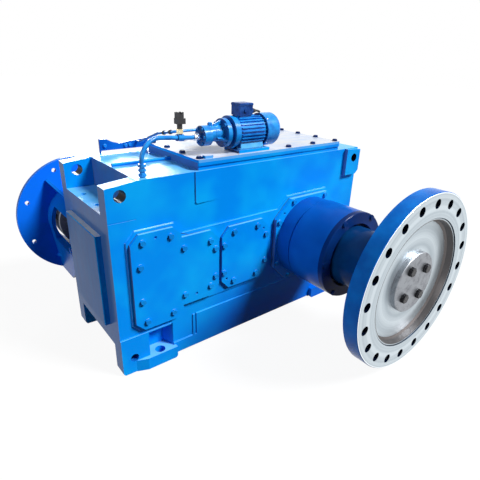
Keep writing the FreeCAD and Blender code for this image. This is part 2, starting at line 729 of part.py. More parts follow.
def housing():
    front_plate = prism_y(side_plate_outline(), -HALF_WIDTH, -INNER_HALF)
    front = [front_plate, corner_plate(), out_lug(), top_pad()]
    front += pad_solids() + foot_solids() + stiffeners()
    parts = []
    for piece in front:
        parts += both_sides(piece)
    middle = prism_y(middle_outline(False), -INNER_HALF, INNER_HALF)
    frame = box(COVER_X0 + FRAME_INSET, COVER_X1 - FRAME_INSET, COVER_Y0 + FRAME_INSET,
                COVER_Y1 - FRAME_INSET, TOP_Z - 1, TOP_Z + FRAME_H)
    flange = hatch_plate(TOP_Z + FRAME_H, FRAME_FLANGE_T)
    body = parts[0].fuse(parts[1:] + [middle, frame, flange])
    cuts = [prism_y(middle_outline(True), -INNER_HALF, INNER_HALF)]
    cuts.append(box(COVER_X0 + HATCH_BORDER, COVER_X1 - HATCH_BORDER, COVER_Y0 + HATCH_FRONT_BORDER,
                    COVER_Y1 - HATCH_BORDER, TOP_Z - TOP_WALL_T - 1, TOP_Z + FRAME_H + FRAME_FLANGE_T + 1))
    cuts.append(box(LEFT_X - 1, CAVITY_X0 + 1, -END_COVER_HALF + END_PORT_BORDER,
                    END_COVER_HALF - END_PORT_BORDER, END_COVER_Z[0] + END_PORT_BORDER,
                    END_COVER_Z[1] - END_PORT_BORDER))
    for x, bearing in shaft_seats():
        radius = bearing[1] / 2 + SEAT_CLEAR
        cuts.append(cyl_y(x, SHAFT_Z, radius, -PAD_FACE - 1, -INNER_HALF + 1))
        cuts.append(cyl_y(x, SHAFT_Z, radius, INNER_HALF - 1, PAD_FACE + 1))
    for x in (-FOUND_X / 2, FOUND_X / 2):
        for y in (-FOUND_Y / 2, FOUND_Y / 2):
            cuts.append(cyl_z(x, y, FOUND_HOLE_R, -1, FOOT_TOP_Z + 1))
        for piece in foot_pocket(x, x > 0):
            cuts += both_sides(piece)
    for y0 in (-HALF_WIDTH - 1, INNER_HALF - 1):
        cuts.append(cyl_y(LEFT_X + LIFT_HOLE_IN, LIFT_HOLE_Z, LIFT_HOLE_R, y0, y0 + PLATE_T + 2))
    for sign in (-1, 1):
        ends = sorted((sign * (HALF_WIDTH + 30), sign * (HALF_WIDTH - JACK_HOLE_DEPTH)))
        cuts.append(cyl_y(LEFT_X + LIFT_HOLE_IN, JACK_HOLE_Z, JACK_HOLE_R, ends[0], ends[1]))
        ends = sorted((sign * (HALF_WIDTH + OUT_LUG_T + 1), sign * (HALF_WIDTH - JACK_HOLE_DEPTH)))
        cuts.append(cyl_y(RIGHT_X - OUT_LUG_HOLE_IN, LIFT_HOLE_Z, OUT_LUG_HOLE_R, ends[0], ends[1]))
        ends = sorted((sign * (HALF_WIDTH + 1), sign * (HALF_WIDTH - SEAM_DEPTH)))
        cuts.append(box(LEFT_X - 1, LEFT_X + SEAM_LENGTH, ends[0], ends[1], SEAM_Z, SEAM_Z + SEAM_W))
        cuts.append(cyl_z(LEFT_X + NOTCH_HOLE_IN, sign * NOTCH_HOLE_Y, NOTCH_HOLE_R,
                          LUG_TOP_FLOOR_Z - NOTCH_HOLE_DEPTH, LUG_TOP_FLOOR_Z + 1))
    return body.cut(cuts).removeSplitter()


# Gears

def involute(angle):
    return math.tan(angle) - angle


def tooth_half_angle(radius, pitch_r, base_r, thickness, pressure):
    """Half the angle that a tooth covers at a radius."""
    at_pitch = thickness / 2 / pitch_r
    if radius <= base_r:
        return at_pitch + involute(pressure)
    return at_pitch + involute(pressure) - involute(math.acos(base_r / radius))


def tooth_profile(teeth, pitch_r, flank_points):
    """Radii along a flank with half the angle that the tooth covers at each."""
    beta = math.radians(HELIX_DEG)
    module_t = 2 * pitch_r / teeth
    module_n = module_t * math.cos(beta)
    pressure = math.atan(math.tan(math.radians(PRESSURE_DEG)) / math.cos(beta))
    base_r = pitch_r * math.cos(pressure)
    root_r = pitch_r - DEDENDUM * module_n
    tip_r = pitch_r + ADDENDUM * module_n
    thickness = math.pi * module_t / 2 - BACKLASH / 2
    radii = [root_r, pitch_r, tip_r] if flank_points == 3 else [root_r, tip_r]
    return [(r, tooth_half_angle(r, pitch_r, base_r, thickness, pressure)) for r in radii]


def gear_section(flank, teeth, first_angle, y):
    """Corners of the toothed outline in one plane across the axis."""
    points = []
    for k in range(teeth):
        middle = first_angle + 2 * math.pi * k / teeth
        for r, half in flank:
            points.append(vec(r * math.cos(middle - half), y, r * math.sin(middle - half)))
        for r, half in reversed(flank):
            points.append(vec(r * math.cos(middle + half), y, r * math.sin(middle + half)))
    return points + [points[0]]


def toothed_blank(teeth, pitch_r, width, hand, first_deg, flank_points, steps):
    """A helical gear blank about the Y axis, centred on the origin.

    The teeth are ruled from section to section, and each section is turned a little
    further than the one before it, as the helix angle asks.
    """
    flank = tooth_profile(teeth, pitch_r, flank_points)
    lead = hand * math.tan(math.radians(HELIX_DEG)) / pitch_r
    levels = [width * k / steps - width / 2 for k in range(steps + 1)]
    rings = [gear_section(flank, teeth, math.radians(first_deg) + lead * y, y) for y in levels]
    faces = [Part.Face(Part.makePolygon(rings[0])), Part.Face(Part.makePolygon(rings[-1]))]
    for low, high in zip(rings, rings[1:]):
        for i in range(len(low) - 1):
            faces.append(Part.makeRuledSurface(Part.makeLine(low[i], low[i + 1]),
                                               Part.makeLine(high[i], high[i + 1])))
    shell = Part.makeShell(faces)
    shell.sewShape()
    blank = Part.makeSolid(shell)
    if blank.Volume < 0:
        blank.reverse()
    return blank


def pitch_radius(centre_distance, teeth, mate_teeth):
    return centre_distance * teeth / (teeth + mate_teeth)


def wheel(x, middle_y, centre_distance, teeth, mate_teeth, width, hand, bore_r, web):
    """A bored gear wheel, thinner between rim and hub; web gives hub wall and depth."""
    hub_wall, depth = web
    pitch_r = pitch_radius(centre_distance, teeth, mate_teeth)
    blank = toothed_blank(teeth, pitch_r, width, hand, wheel_phase(teeth), 2, WHEEL_SECTION_COUNT)
    module_t = 2 * pitch_r / teeth
    rim_r = pitch_r - RIM_MODULES * module_t
    cuts = [cyl_y(0, 0, bore_r, -width, width)]
    for sign in (-1, 1):
        y0, y1 = sorted((sign * (width / 2 - depth), sign * (width / 2 + 1)))
        cuts.append(ring_y(0, 0, rim_r, bore_r + hub_wall, y0, y1))
    body = blank.cut(cuts)
    body.translate(vec(x, middle_y, SHAFT_Z))
    return body


def wheel_phase(teeth):
    """Turns a wheel so that a tooth space faces its pinion on the input side."""
    return 180.0 + 180.0 / teeth


def pinion_blank(centre_distance, teeth, mate_teeth, width, hand):
    """A pinion with a tooth pointing at its wheel on the output side."""
    pitch_r = pitch_radius(centre_distance, teeth, mate_teeth)
    return toothed_blank(teeth, pitch_r, width + PINION_EXTRA, -hand, 0.0, 3, PINION_SECTION_COUNT)


def stepped_shaft(x, steps):
    """A turned shaft from (diameter, from, to) steps in order along Y."""
    profile = [(0.0, steps[0][1])]
    for diameter, y0, y1 in steps:
        profile.append((diameter / 2, y0))
        profile.append((diameter / 2, y1))
    profile.append((0.0, steps[-1][2]))
    return turned_y(x, SHAFT_Z, profile)


def bearing_span(bearing):
    """Inner and outer ends of a bearing in the side plate, as distances from the middle."""
    return INNER_HALF + BEARING_INSET, INNER_HALF + BEARING_INSET + bearing[2]


# Shafts with their pinions

def input_shaft():
    inner, outer = bearing_span(INPUT_BEARING)
    bore = INPUT_BEARING[0]
    steps = [
        (bore, -outer - 4, -inner),
        (bore + INPUT_SHOULDER, -inner, inner),
        (bore, inner, outer + 6),
        (INPUT_SHAFT_D, outer + 6, HALF_WIDTH + INPUT_SHAFT_END),
    ]
    shaft = stepped_shaft(INPUT_X, steps)
    teeth = pinion_blank(CENTRE_1, PINION_1_TEETH, WHEEL_1_TEETH, FACE_1, 1)
    teeth.translate(vec(INPUT_X, MID_1, SHAFT_Z))
    return shaft.fuse(teeth).cut(key_box(0.0))


def intermediate_shaft(x, bearing, seat_d, centre, teeth, mate_teeth, face, middle, hand):
    """A shaft with its pinion cut in one piece and a seat for its wheel."""
    inner, outer = bearing_span(bearing)
    pitch_r = pitch_radius(centre, teeth, mate_teeth)
    root_r = pitch_r - DEDENDUM * 2 * pitch_r / teeth
    body_d = min(seat_d, 2 * root_r - 2)
    half = (face + PINION_EXTRA) / 2
    steps = [
        (bearing[0], -outer - 3, -inner),
        (body_d, -inner, middle + half),
        (seat_d, middle + half, inner),
        (bearing[0], inner, outer + 3),
    ]
    blank = pinion_blank(centre, teeth, mate_teeth, face, hand)
    blank.translate(vec(x, middle, SHAFT_Z))
    return stepped_shaft(x, steps).fuse(blank)


def output_shaft():
    inner, outer = bearing_span(OUTPUT_BEARING)
    bore = OUTPUT_BEARING[0]
    front_end = -HALF_WIDTH - (FLANGE_BACK + FLANGE_T - RECESS_DEPTH)
    steps = [
        (OUTPUT_END_D, front_end, -HALF_WIDTH - HUB_START),
        (bore, -HALF_WIDTH - HUB_START, -inner),
        (bore + OUTPUT_SHOULDER, -inner, MID_3 - FACE_3 / 2),
        (bore + OUTPUT_SEAT_STEP, MID_3 - FACE_3 / 2, MID_3 + FACE_3 / 2),
        (bore, MID_3 + FACE_3 / 2, outer + 3),
    ]
    shaft = stepped_shaft(OUTPUT_X, steps)
    holes = []
    for x, z in around(OUTPUT_X, SHAFT_Z, END_BOLT_R, END_BOLTS, END_BOLT_DEG):
        holes.append(cyl_y(x, z, END_PLATE_BOLT_R, front_end - 1, front_end + END_PLATE_BOLT_LENGTH))
    return shaft.cut(holes)


def spacer(x, d_in, y0, y1, wall):
    return ring_y(x, SHAFT_Z, d_in / 2 + wall, d_in / 2 + SEAT_CLEAR, y0, y1)


# Bearings

def ring_thickness(bearing):
    """Radial thickness of each ring, a share of the space between bore and outside."""
    return RING_SHARE * (bearing[1] - bearing[0]) / 2


def bearing_outer(x, bearing, side):
    inner, outer = bearing_span(bearing)
    y0, y1 = sorted((side * inner, side * outer))
    radius = bearing[1] / 2
    return ring_y(x, SHAFT_Z, radius, radius - ring_thickness(bearing), y0, y1)


def bearing_inner(x, bearing, side):
    inner, outer = bearing_span(bearing)
    y0, y1 = sorted((side * inner, side * outer))
    radius = bearing[0] / 2
    return ring_y(x, SHAFT_Z, radius + ring_thickness(bearing), radius + SEAT_CLEAR, y0, y1)


def bearing_rollers(x, bearing, side):
    """Cylindrical rollers standing between the two rings."""
    inner, outer = bearing_span(bearing)
    race = (bearing[1] - bearing[0]) / 2 - 2 * ring_thickness(bearing)
    y0, y1 = sorted((side * (inner + ROLLER_END), side * (outer - ROLLER_END)))
    spots = around(x, SHAFT_Z, (bearing[0] + bearing[1]) / 4, ROLLERS_PER_BEARING, 0.0)
    return [cyl_y(px, pz, race / 2 - ROLLER_CLEAR, y0, y1) for px, pz in spots]


# Covers

def spigot(x, bearing, side, bore_r):
    """The ring of a cover that reaches into the bore up to the bearing."""
    outer_end = bearing_span(bearing)[1]
    radius = bearing[1] / 2
    inner_r = max(radius - SPIGOT_WALL, bore_r)
    y0, y1 = sorted((side * (outer_end + 0.5), side * (PAD_FACE + 1.0)))
    return ring_y(x, SHAFT_Z, radius, inner_r, y0, y1)


def cover_plate(outline, side, thickness):
    y0, y1 = sorted((side * PAD_FACE, side * (PAD_FACE + thickness)))
    return prism_y(outline, y0, y1)


def with_jack_holes(cover, x, offsets, side, face):
    """Tapped holes for the screws that push a cover off its pad."""
    y0, y1 = sorted((side * (face + 1), side * (face - JACK_DEPTH)))
    return cover.cut([cyl_y(x + dx, SHAFT_Z + dz, JACK_R, y0, y1) for dx, dz in offsets])


def left_cover(side, shaft_hole_r):
    """Keyhole-shaped cover over the input and second shafts."""
    outline = octagon(INPUT_X, SHAFT_Z, LEFT_COVER_HALF, LEFT_COVER_CHAMFER)
    parts = [cover_plate(outline, side, COVER_T), cover_plate(neck_outline(), side, COVER_T),
             spigot(INPUT_X, INPUT_BEARING, side, shaft_hole_r), spigot(SECOND_X, SECOND_BEARING, side, 0)]
    cover = fuse_all(parts)
    if shaft_hole_r > 0:
        y0, y1 = sorted((side * (INNER_HALF + 10), side * (COVER_FACE + 1)))
        cover = cover.cut(cyl_y(INPUT_X, SHAFT_Z, shaft_hole_r, y0, y1))
    return with_jack_holes(cover, INPUT_X, KEYHOLE_JACKS, side, COVER_FACE)


def middle_cover(side):
    outline = octagon(THIRD_X, SHAFT_Z, MID_COVER_HALF, MID_COVER_CHAMFER)
    cover = fuse_all([cover_plate(outline, side, COVER_T), spigot(THIRD_X, THIRD_BEARING, side, 0)])
    return with_jack_holes(cover, THIRD_X, MID_JACKS, side, COVER_FACE)


def output_cover(side, hole_r):
    outline = octagon(OUTPUT_X, SHAFT_Z, OUTPUT_COVER_HALF, OUTPUT_COVER_CHAMFER)
    cover = fuse_all([cover_plate(outline, side, OUTPUT_COVER_T),
                      spigot(OUTPUT_X, OUTPUT_BEARING, side, hole_r)])
    if hole_r > 0:
        y0, y1 = sorted((side * (PAD_FACE - 2), side * (OUTPUT_FACE + 1)))
        cover = cover.cut(cyl_y(OUTPUT_X, SHAFT_Z, hole_r, y0, y1))
    return with_jack_holes(cover, OUTPUT_X, OUTPUT_JACKS, side, OUTPUT_FACE)


def keyhole_bolt_spots():
    """Bolt places of the keyhole cover, round the octagon and round the second shaft."""
    spots = []
    for sx, sz in KEYHOLE_BOLTS:
        spots.append((INPUT_X + sx, SHAFT_Z + sz))
        spots.append((INPUT_X + sx, SHAFT_Z - sz))
    for dx, dz in NECK_BOLTS:
        spots.append((SECOND_X + dx, SHAFT_Z + dz))
        spots.append((SECOND_X + dx, SHAFT_Z - dz))
    return spots


def middle_bolt_spots():
    return ring_of_eight(THIRD_X, MID_BOLT_R)


def output_bolt_spots():
    return ring_of_eight(OUTPUT_X, OUTPUT_BOLT_R)


def ring_of_eight(x, radius):
    """Four pairs of bolts, leaving the level and upright lines free."""
    spots = []
    for corner in range(4):
        for step in PAIR_DEG:
            a = math.radians(90 * corner + step)
            spots.append((x + radius * math.cos(a), SHAFT_Z + radius * math.sin(a)))
    return spots


def heads_on(spots, face, side, across_flats, height):
    return [hex_head_y(x, z, side * face, side, across_flats, height) for x, z in spots]


def cover_bolts(side):
    """Hexagon heads on the three covers of one side; the lantern foot takes some places."""
    keyhole = keyhole_bolt_spots()
    if side > 0:
        clear = LANTERN_FOOT_R + COVER_BOLT_AF
        keyhole = [s for s in keyhole if math.hypot(s[0] - INPUT_X, s[1] - SHAFT_Z) > clear]
    heads = heads_on(keyhole, COVER_FACE, side, COVER_BOLT_AF, COVER_BOLT_HEAD)
    heads += heads_on(middle_bolt_spots(), COVER_FACE, side, COVER_BOLT_AF, COVER_BOLT_HEAD)
    heads += heads_on(output_bolt_spots(), OUTPUT_FACE, side, COVER_BOLT_AF, COVER_BOLT_HEAD)
    return heads


# Output side

def output_sleeve():
    """Sleeve bolted to the output cover that carries the seal near the flange."""
    face = -OUTPUT_FACE
    collar_end = face - COLLAR_LENGTH
    groove_end = collar_end - GROOVE_LENGTH
    end = -HALF_WIDTH - SLEEVE_END + SLEEVE_RING_T
    profile = [
        (SLEEVE_BORE_R, face), (COLLAR_R, face), (COLLAR_R, collar_end), (GROOVE_R, collar_end - 2),
        (GROOVE_R, groove_end + 2), (SLEEVE_R, groove_end), (SLEEVE_R, end), (SLEEVE_BORE_R, end),
    ]
    return turned_y(OUTPUT_X, SHAFT_Z, profile)


def sleeve_end_ring():
    """Ring that closes the sleeve and holds the shaft seal."""
    end = -HALF_WIDTH - SLEEVE_END
    inner = end + SLEEVE_RING_T
    seal_seat = OUTPUT_BEARING[0] / 2 + SEAL_WALL
    seal_start = inner + SEAL_START
    lip_end = seal_start + SEAL_ROOM
    profile = [
        (SLEEVE_RING_R, end), (SLEEVE_R - 3, end), (SLEEVE_R, end + 3), (SLEEVE_R, inner),
        (SLEEVE_BORE_R - 0.2, inner), (SLEEVE_BORE_R - 0.2, lip_end), (seal_seat, lip_end),
        (seal_seat, seal_start), (SLEEVE_RING_R, seal_start),
    ]
    return turned_y(OUTPUT_X, SHAFT_Z, profile)


def shaft_seal(x, shaft_r, seat_r, y0, y1):
    """Lip seal: a ring with a tapered lip towards the shaft."""
    lip = shaft_r + SEAT_CLEAR
    mid = (y0 + y1) / 2
    profile = [(seat_r, y0), (seat_r, y1), (lip + 5, y1), (lip, mid), (lip + 5, y0)]
    return turned_y(x, SHAFT_Z, profile)


def output_flange():
    """Coupling flange with its hub, dished recess and twenty bolt holes."""
    back = -HALF_WIDTH - FLANGE_BACK
    face = back - FLANGE_T
    floor = face + RECESS_DEPTH
    hub_front = -HALF_WIDTH - HUB_START
    bore = OUTPUT_END_D / 2 + SEAT_CLEAR
    profile = [
        (bore, hub_front), (HUB_R, hub_front), (HUB_R, back + 16), (HUB_R + 6, back + 5),
        (HUB_R + 16, back), (FLANGE_R - 3, back), (FLANGE_R, back - 3), (FLANGE_R, face + 3),
        (FLANGE_R - 3, face), (RECESS_STEP_R, face), (RECESS_STEP_R, face + RECESS_STEP),
        (RECESS_R, face + RECESS_STEP), (RECESS_R - 4, floor - 9), (RECESS_R - 14, floor - 1),
        (RECESS_R - 26, floor), (bore, floor),
    ]
    flange = turned_y(OUTPUT_X, SHAFT_Z, profile)
    spots = around(OUTPUT_X, SHAFT_Z, FLANGE_R - FLANGE_HOLE_IN, FLANGE_HOLES, FLANGE_FIRST_DEG)
    holes = [cyl_y(x, z, FLANGE_HOLE_R, face - 1, back + 1) for x, z in spots]
    return flange.cut(holes)


def end_plate():
    floor = -HALF_WIDTH - (FLANGE_BACK + FLANGE_T - RECESS_DEPTH)
    face = floor - END_PLATE_T
    profile = [(0, floor), (END_PLATE_R, floor), (END_PLATE_R, face + 3), (END_PLATE_R - 3, face), (0, face)]
    plate = turned_y(OUTPUT_X, SHAFT_Z, profile)
    spots = around(OUTPUT_X, SHAFT_Z, END_BOLT_R, END_BOLTS, END_BOLT_DEG)
    return plate.cut([cyl_y(x, z, END_PLATE_BOLT_R + 0.5, face - 1, floor + 1) for x, z in spots])


def end_plate_bolts():
    """Four bolts through the end plate into the shaft."""
    floor = -HALF_WIDTH - (FLANGE_BACK + FLANGE_T - RECESS_DEPTH)
    face = floor - END_PLATE_T
    bolts = []
    for x, z in around(OUTPUT_X, SHAFT_Z, END_BOLT_R, END_BOLTS, END_BOLT_DEG):
        head = hex_head_y(x, z, face, -1, END_PLATE_BOLT_AF, END_PLATE_BOLT_HEAD)
        shank = cyl_y(x, z, END_PLATE_BOLT_R - 0.1, face - 1, floor + END_PLATE_BOLT_LENGTH - 10)
        bolts.append(head.fuse(shank))
    return bolts


def sleeve_bolts():
    end = -HALF_WIDTH - SLEEVE_END
    spots = around(OUTPUT_X, SHAFT_Z, SLEEVE_R - SLEEVE_BOLT_IN, SLEEVE_BOLTS, SLEEVE_FIRST_DEG)
    return heads_on(spots, -end, -1, SLEEVE_BOLT_AF, 8.0)


# Input side

def lantern():
    """Motor lantern: foot ring, body with side windows, ribs, support box and flange."""
    foot = COVER_FACE
    face = HALF_WIDTH + LANTERN_FACE
    end = face + LANTERN_FLANGE_T
    wall = LANTERN_WALL
    root = foot + LANTERN_FOOT_T + LANTERN_ROOT_LENGTH
    wide = root + LANTERN_CONE
    profile = [
        (LANTERN_ROOT_R - wall, foot), (LANTERN_FOOT_R, foot), (LANTERN_FOOT_R, foot + LANTERN_FOOT_T),
        (LANTERN_ROOT_R, foot + LANTERN_FOOT_T), (LANTERN_ROOT_R, root), (LANTERN_BODY_R, wide),
        (LANTERN_BODY_R, face), (LANTERN_R, face), (LANTERN_R, end), (LANTERN_PILOT_R, end),
        (LANTERN_PILOT_R, end - LANTERN_PILOT_DEPTH), (LANTERN_BODY_R - wall, end - LANTERN_PILOT_DEPTH),
        (LANTERN_BODY_R - wall, wide), (LANTERN_ROOT_R - wall, root),
    ]
    body = turned_y(INPUT_X, SHAFT_Z, profile)
    ribs = [lantern_rib(deg, face) for deg in LANTERN_RIB_DEG]
    body = body.fuse(ribs + lantern_webs(face))
    bore = cyl_y(INPUT_X, SHAFT_Z, LANTERN_BODY_R - wall, wide, face + 1)
    window = box(INPUT_X - LANTERN_R, INPUT_X + LANTERN_R, HALF_WIDTH + WINDOW_FROM, HALF_WIDTH + WINDOW_TO,
                 SHAFT_Z - WINDOW_HALF_HEIGHT, SHAFT_Z + WINDOW_HALF_HEIGHT)
    spots = around(INPUT_X, SHAFT_Z, LANTERN_PCD / 2, LANTERN_HOLES, 22.5)
    holes = [cyl_y(x, z, LANTERN_HOLE_R, face - 1, end + 1) for x, z in spots]
    return body.cut(holes + [window, bore])


def lantern_webs(face):
    """Two leaning side plates and a bottom plate that carry the lantern's weight."""
    low = WEB_BOTTOM_Z
    start = COVER_FACE + LANTERN_FOOT_T + LANTERN_ROOT_LENGTH
    bend = face - WEB_FLAT
    edge = [(face + 1, low), (bend, low + WEB_STEP), (start, low + WEB_RISE)]
    side = edge + [(start, SHAFT_Z - WEB_BELOW), (face + 1, SHAFT_Z - WEB_BELOW)]
    bottom = edge + [(y, z + WEB_T) for y, z in reversed(edge)]
    plates = [prism_x(bottom, INPUT_X - WEB_X, INPUT_X + WEB_X)]
    for sign in (-1, 1):
        x0, x1 = sorted((INPUT_X + sign * WEB_X, INPUT_X + sign * (WEB_X - WEB_T)))
        plate = prism_x(side, x0, x1)
        plate.rotate(vec(INPUT_X + sign * WEB_X, 0, low), vec(0, 1, 0), sign * WEB_LEAN_DEG)
        plates.append(plate)
    return plates


def lantern_rib(deg, face):
    """A tapered gusset from the flange down to the root of the body."""
    inner = LANTERN_ROOT_R - LANTERN_WALL / 2
    base = COVER_FACE + LANTERN_FOOT_T - 1
    points = [(inner, base), (LANTERN_FOOT_R - 6, base),
              (LANTERN_RIB_OUT, face - 12), (LANTERN_RIB_OUT, face + 1), (LANTERN_BODY_R - 10, face + 1),
              (LANTERN_BODY_R - 10, face - LANTERN_RIB_OUT / 2)]
    loop = [vec(r, y, -LANTERN_RIB_T / 2) for r, y in points]
    rib = Part.Face(Part.makePolygon(loop + [loop[0]])).extrude(vec(0, 0, LANTERN_RIB_T))
    rib.rotate(vec(0, 0, 0), vec(0, 1, 0), -deg)
    rib.translate(vec(INPUT_X, 0, SHAFT_Z))
    return rib


def lantern_bolts():
    spots = around(INPUT_X, SHAFT_Z, LANTERN_FOOT_BOLT_R, 8, 22.5)
    return heads_on(spots, COVER_FACE + LANTERN_FOOT_T, 1, COVER_BOLT_AF, COVER_BOLT_HEAD)


def coupling_hub():
    """Gearbox half of the coupling: a hub and a rim with pockets for the buffers."""
    y0 = HALF_WIDTH + COUPLING_START
    y1 = y0 + COUPLING_LENGTH
    rim = y1 - COUPLING_RIM_LENGTH
    floor = HALF_WIDTH + INPUT_SHAFT_END + SHAFT_END_GAP
    bore = INPUT_SHAFT_D / 2 + SEAT_CLEAR
    profile = [(bore, y0), (COUPLING_HUB_R, y0), (COUPLING_HUB_R, rim), (COUPLING_R - 3, rim),
               (COUPLING_R, rim + 3), (COUPLING_R, y1), (COUPLING_MOUTH_R, y1), (COUPLING_MOUTH_R, floor),
               (bore, floor)]
    hub = turned_y(INPUT_X, SHAFT_Z, profile)
    gaps = pocket_blocks(COUPLING_R - POCKET_BITE, COUPLING_R + 2, y1 - POCKET_LENGTH, y1 + 1, POCKET_HALF)
    half = KEY_W / 2 + KEY_CLEAR
    key_top = SHAFT_Z + INPUT_SHAFT_D / 2 + KEY_PROUD + 0.2
    key_slot = box(INPUT_X - half, INPUT_X + half, y0 - 1, floor + 1, SHAFT_Z, key_top)
    return hub.cut(gaps + [key_slot])


def pocket_blocks(r0, r1, y0, y1, half):
    """Blocks round the input shaft axis that cut the pockets or fill them."""
    blocks = []
    for k in range(COUPLING_POCKETS):
        block = box(r0, r1, y0, y1, -half, half)
        block.rotate(vec(0, 0, 0), vec(0, 1, 0), POCKET_FIRST_DEG + 360.0 * k / COUPLING_POCKETS)
        block.translate(vec(INPUT_X, 0, SHAFT_Z))
        blocks.append(block)
    return blocks


def coupling_buffers():
    """Elastic buffers that sit in the pockets of the rim."""
    y1 = HALF_WIDTH + COUPLING_START + COUPLING_LENGTH
    clear = BUFFER_CLEAR
    return pocket_blocks(COUPLING_R - POCKET_BITE + clear, COUPLING_R - 2, y1 - POCKET_LENGTH + clear,
                         y1 - 2, POCKET_HALF - clear)


def key_box(clear):
    """The key of the input shaft, or its slot in the shaft where clear is zero."""
    half = KEY_W / 2 - clear
    y0 = HALF_WIDTH + COUPLING_START + KEY_FROM + clear
    y1 = HALF_WIDTH + INPUT_SHAFT_END - KEY_END - clear
    z = SHAFT_Z + INPUT_SHAFT_D / 2
    return box(INPUT_X - half, INPUT_X + half, y0, y1, z - KEY_DEPTH + clear, z + KEY_PROUD)


# Covers on the top and the end

def hatch_plate(z, thickness):
    """A plate with the outline of the inspection cover and rounded corners."""
    plate = box(COVER_X0, COVER_X1, COVER_Y0, COVER_Y1, z, z + thickness)
    upright = [e for e in plate.Edges if abs(e.Vertexes[0].Z - e.Vertexes[1].Z) > 1]
    return plate.makeFillet(FRAME_CORNER_R, upright)


def top_cover():
    """Flat cover on the frame, with a small boss near its front corner."""
    plate = hatch_plate(COVER_TOP_Z - TOP_COVER_T, TOP_COVER_T)
    x0 = COVER_X0 + BOSS_IN
    y0 = COVER_Y0 + FRAME_CORNER_R
    boss = box(x0, x0 + BOSS_LENGTH, y0, y0 + BOSS_WIDTH, COVER_TOP_Z - 1, COVER_TOP_Z + BOSS_H)
    return fuse_all([plate, boss])


def top_bolt_spots():
    """Bolt places round the edge of the inspection cover."""
    x0 = COVER_X0 + TOP_BOLT_INSET[0]
    x1 = COVER_X1 - TOP_BOLT_INSET[1]
    y0 = COVER_Y0 + TOP_BOLT_INSET[2]
    y1 = COVER_Y1 - TOP_BOLT_INSET[3]
    spots = []
    for k in range(TOP_BOLTS_LONG):
        x = x0 + (x1 - x0) * k / (TOP_BOLTS_LONG - 1)
        spots.append((x, y1))
        if not BRACKET_X0 - BRACKET_REACH < x < BRACKET_X1 + BRACKET_REACH:
            spots.append((x, y0))
    for k in (1, 2):
        y = y0 + (y1 - y0) * k / 3
        spots += [(x0, y), (x1, y)]
    return spots


def end_cover():
    """Plate over the port in the end wall at the input end."""
    face = LEFT_X - END_COVER_T
    plate = box(face, LEFT_X, -END_COVER_HALF, END_COVER_HALF, END_COVER_Z[0], END_COVER_Z[1])
    edges = [e for e in plate.Edges if all(abs(v.X - face) < 0.1 for v in e.Vertexes)]
    return plate.makeChamfer(3.0, edges)


# Lubrication set

def motor_bracket():
    """Low steel bracket under the motor feet, welded up from a plate and two rails."""
    plate = box(BRACKET_X0, BRACKET_X1, PUMP_Y - BRACKET_HALF, PUMP_Y + BRACKET_HALF,
                BRACKET_TOP_Z - BRACKET_T, BRACKET_TOP_Z)
    rails = []
    for y in (PUMP_Y - BRACKET_HALF, PUMP_Y + BRACKET_HALF - BRACKET_T):
        rails.append(box(BRACKET_X0, BRACKET_X1, y, y + BRACKET_T, COVER_TOP_Z, BRACKET_TOP_Z - BRACKET_T))
    return fuse_all([plate] + rails)


def motor_stator():
    """Finned motor body with its feet."""
    tube = ring_x(STATOR_X0, STATOR_X1, PUMP_Y, PUMP_Z, STATOR_R, ROTOR_R + 1.0)
    fins = []
    for k in range(FIN_COUNT):
        deg = 360.0 * (k + 0.5) / FIN_COUNT
        if 235 < deg < 305 or 75 < deg < 105:
            continue
        fin = box(STATOR_X0 + 4, STATOR_X1 - 4, STATOR_R - 3, FIN_R, -FIN_T / 2, FIN_T / 2)
        fin.rotate(vec(0, 0, 0), vec(1, 0, 0), deg)
        fin.translate(vec(0, PUMP_Y, PUMP_Z))
        fins.append(fin)
    feet = []
    for sign in (-1, 1):
        inner = PUMP_Y + sign * 26
        outer = PUMP_Y + sign * (BRACKET_HALF - 4)
        points = [(inner, BRACKET_TOP_Z), (outer, BRACKET_TOP_Z), (outer, BRACKET_TOP_Z + 9),
                  (PUMP_Y + sign * 46, PUMP_Z - 38), (inner, PUMP_Z - 48)]
        feet.append(prism_x(points, STATOR_X0 + 5, STATOR_X1 - 6))
    saddle = box(TERMINAL_X0 + 3, TERMINAL_X0 + TERMINAL_LENGTH - 3, PUMP_Y - 27, PUMP_Y + 27,
                 PUMP_Z + STATOR_R - 12, PUMP_Z + FIN_R)
    return fuse_all([tube] + fins + feet + [saddle])


def motor_end_shield():
    """Drive-end shield with its flange and the neck that the bell housing bolts to."""
    x0 = MOTOR_FLANGE_X
    bell_end = BELL_FLANGE_X + BELL_FLANGE_T
    bore = ROTOR_SHAFT_R + SHIELD_CLEAR
    profile = [(bore, bell_end), (MOTOR_NECK_R, bell_end), (MOTOR_NECK_R, x0), (MOTOR_FLANGE_R, x0),
               (MOTOR_FLANGE_R, x0 + MOTOR_FLANGE_T), (STATOR_R + 4, x0 + MOTOR_FLANGE_T + 4),
               (STATOR_R + 4, STATOR_X0), (ROTOR_R, STATOR_X0), (ROTOR_R, STATOR_X0 - 8),
               (bore, STATOR_X0 - 8)]
    return turned_x(PUMP_Y, PUMP_Z, profile)


def motor_rear_shield():
    """Rear shield with the seat that the cowl is pushed on."""
    bore = ROTOR_SHAFT_R + SHIELD_CLEAR
    seat_r = COWL_R - COWL_WALL - 0.3
    seat = STATOR_X1 + COWL_GAP + 1
    profile = [(bore, STATOR_X1), (STATOR_R - 3, STATOR_X1), (STATOR_R - 3, seat), (seat_r, seat),
               (seat_r, seat + 8), (30, seat + 10), (bore, seat + 10)]
    return turned_x(PUMP_Y, PUMP_Z, profile)


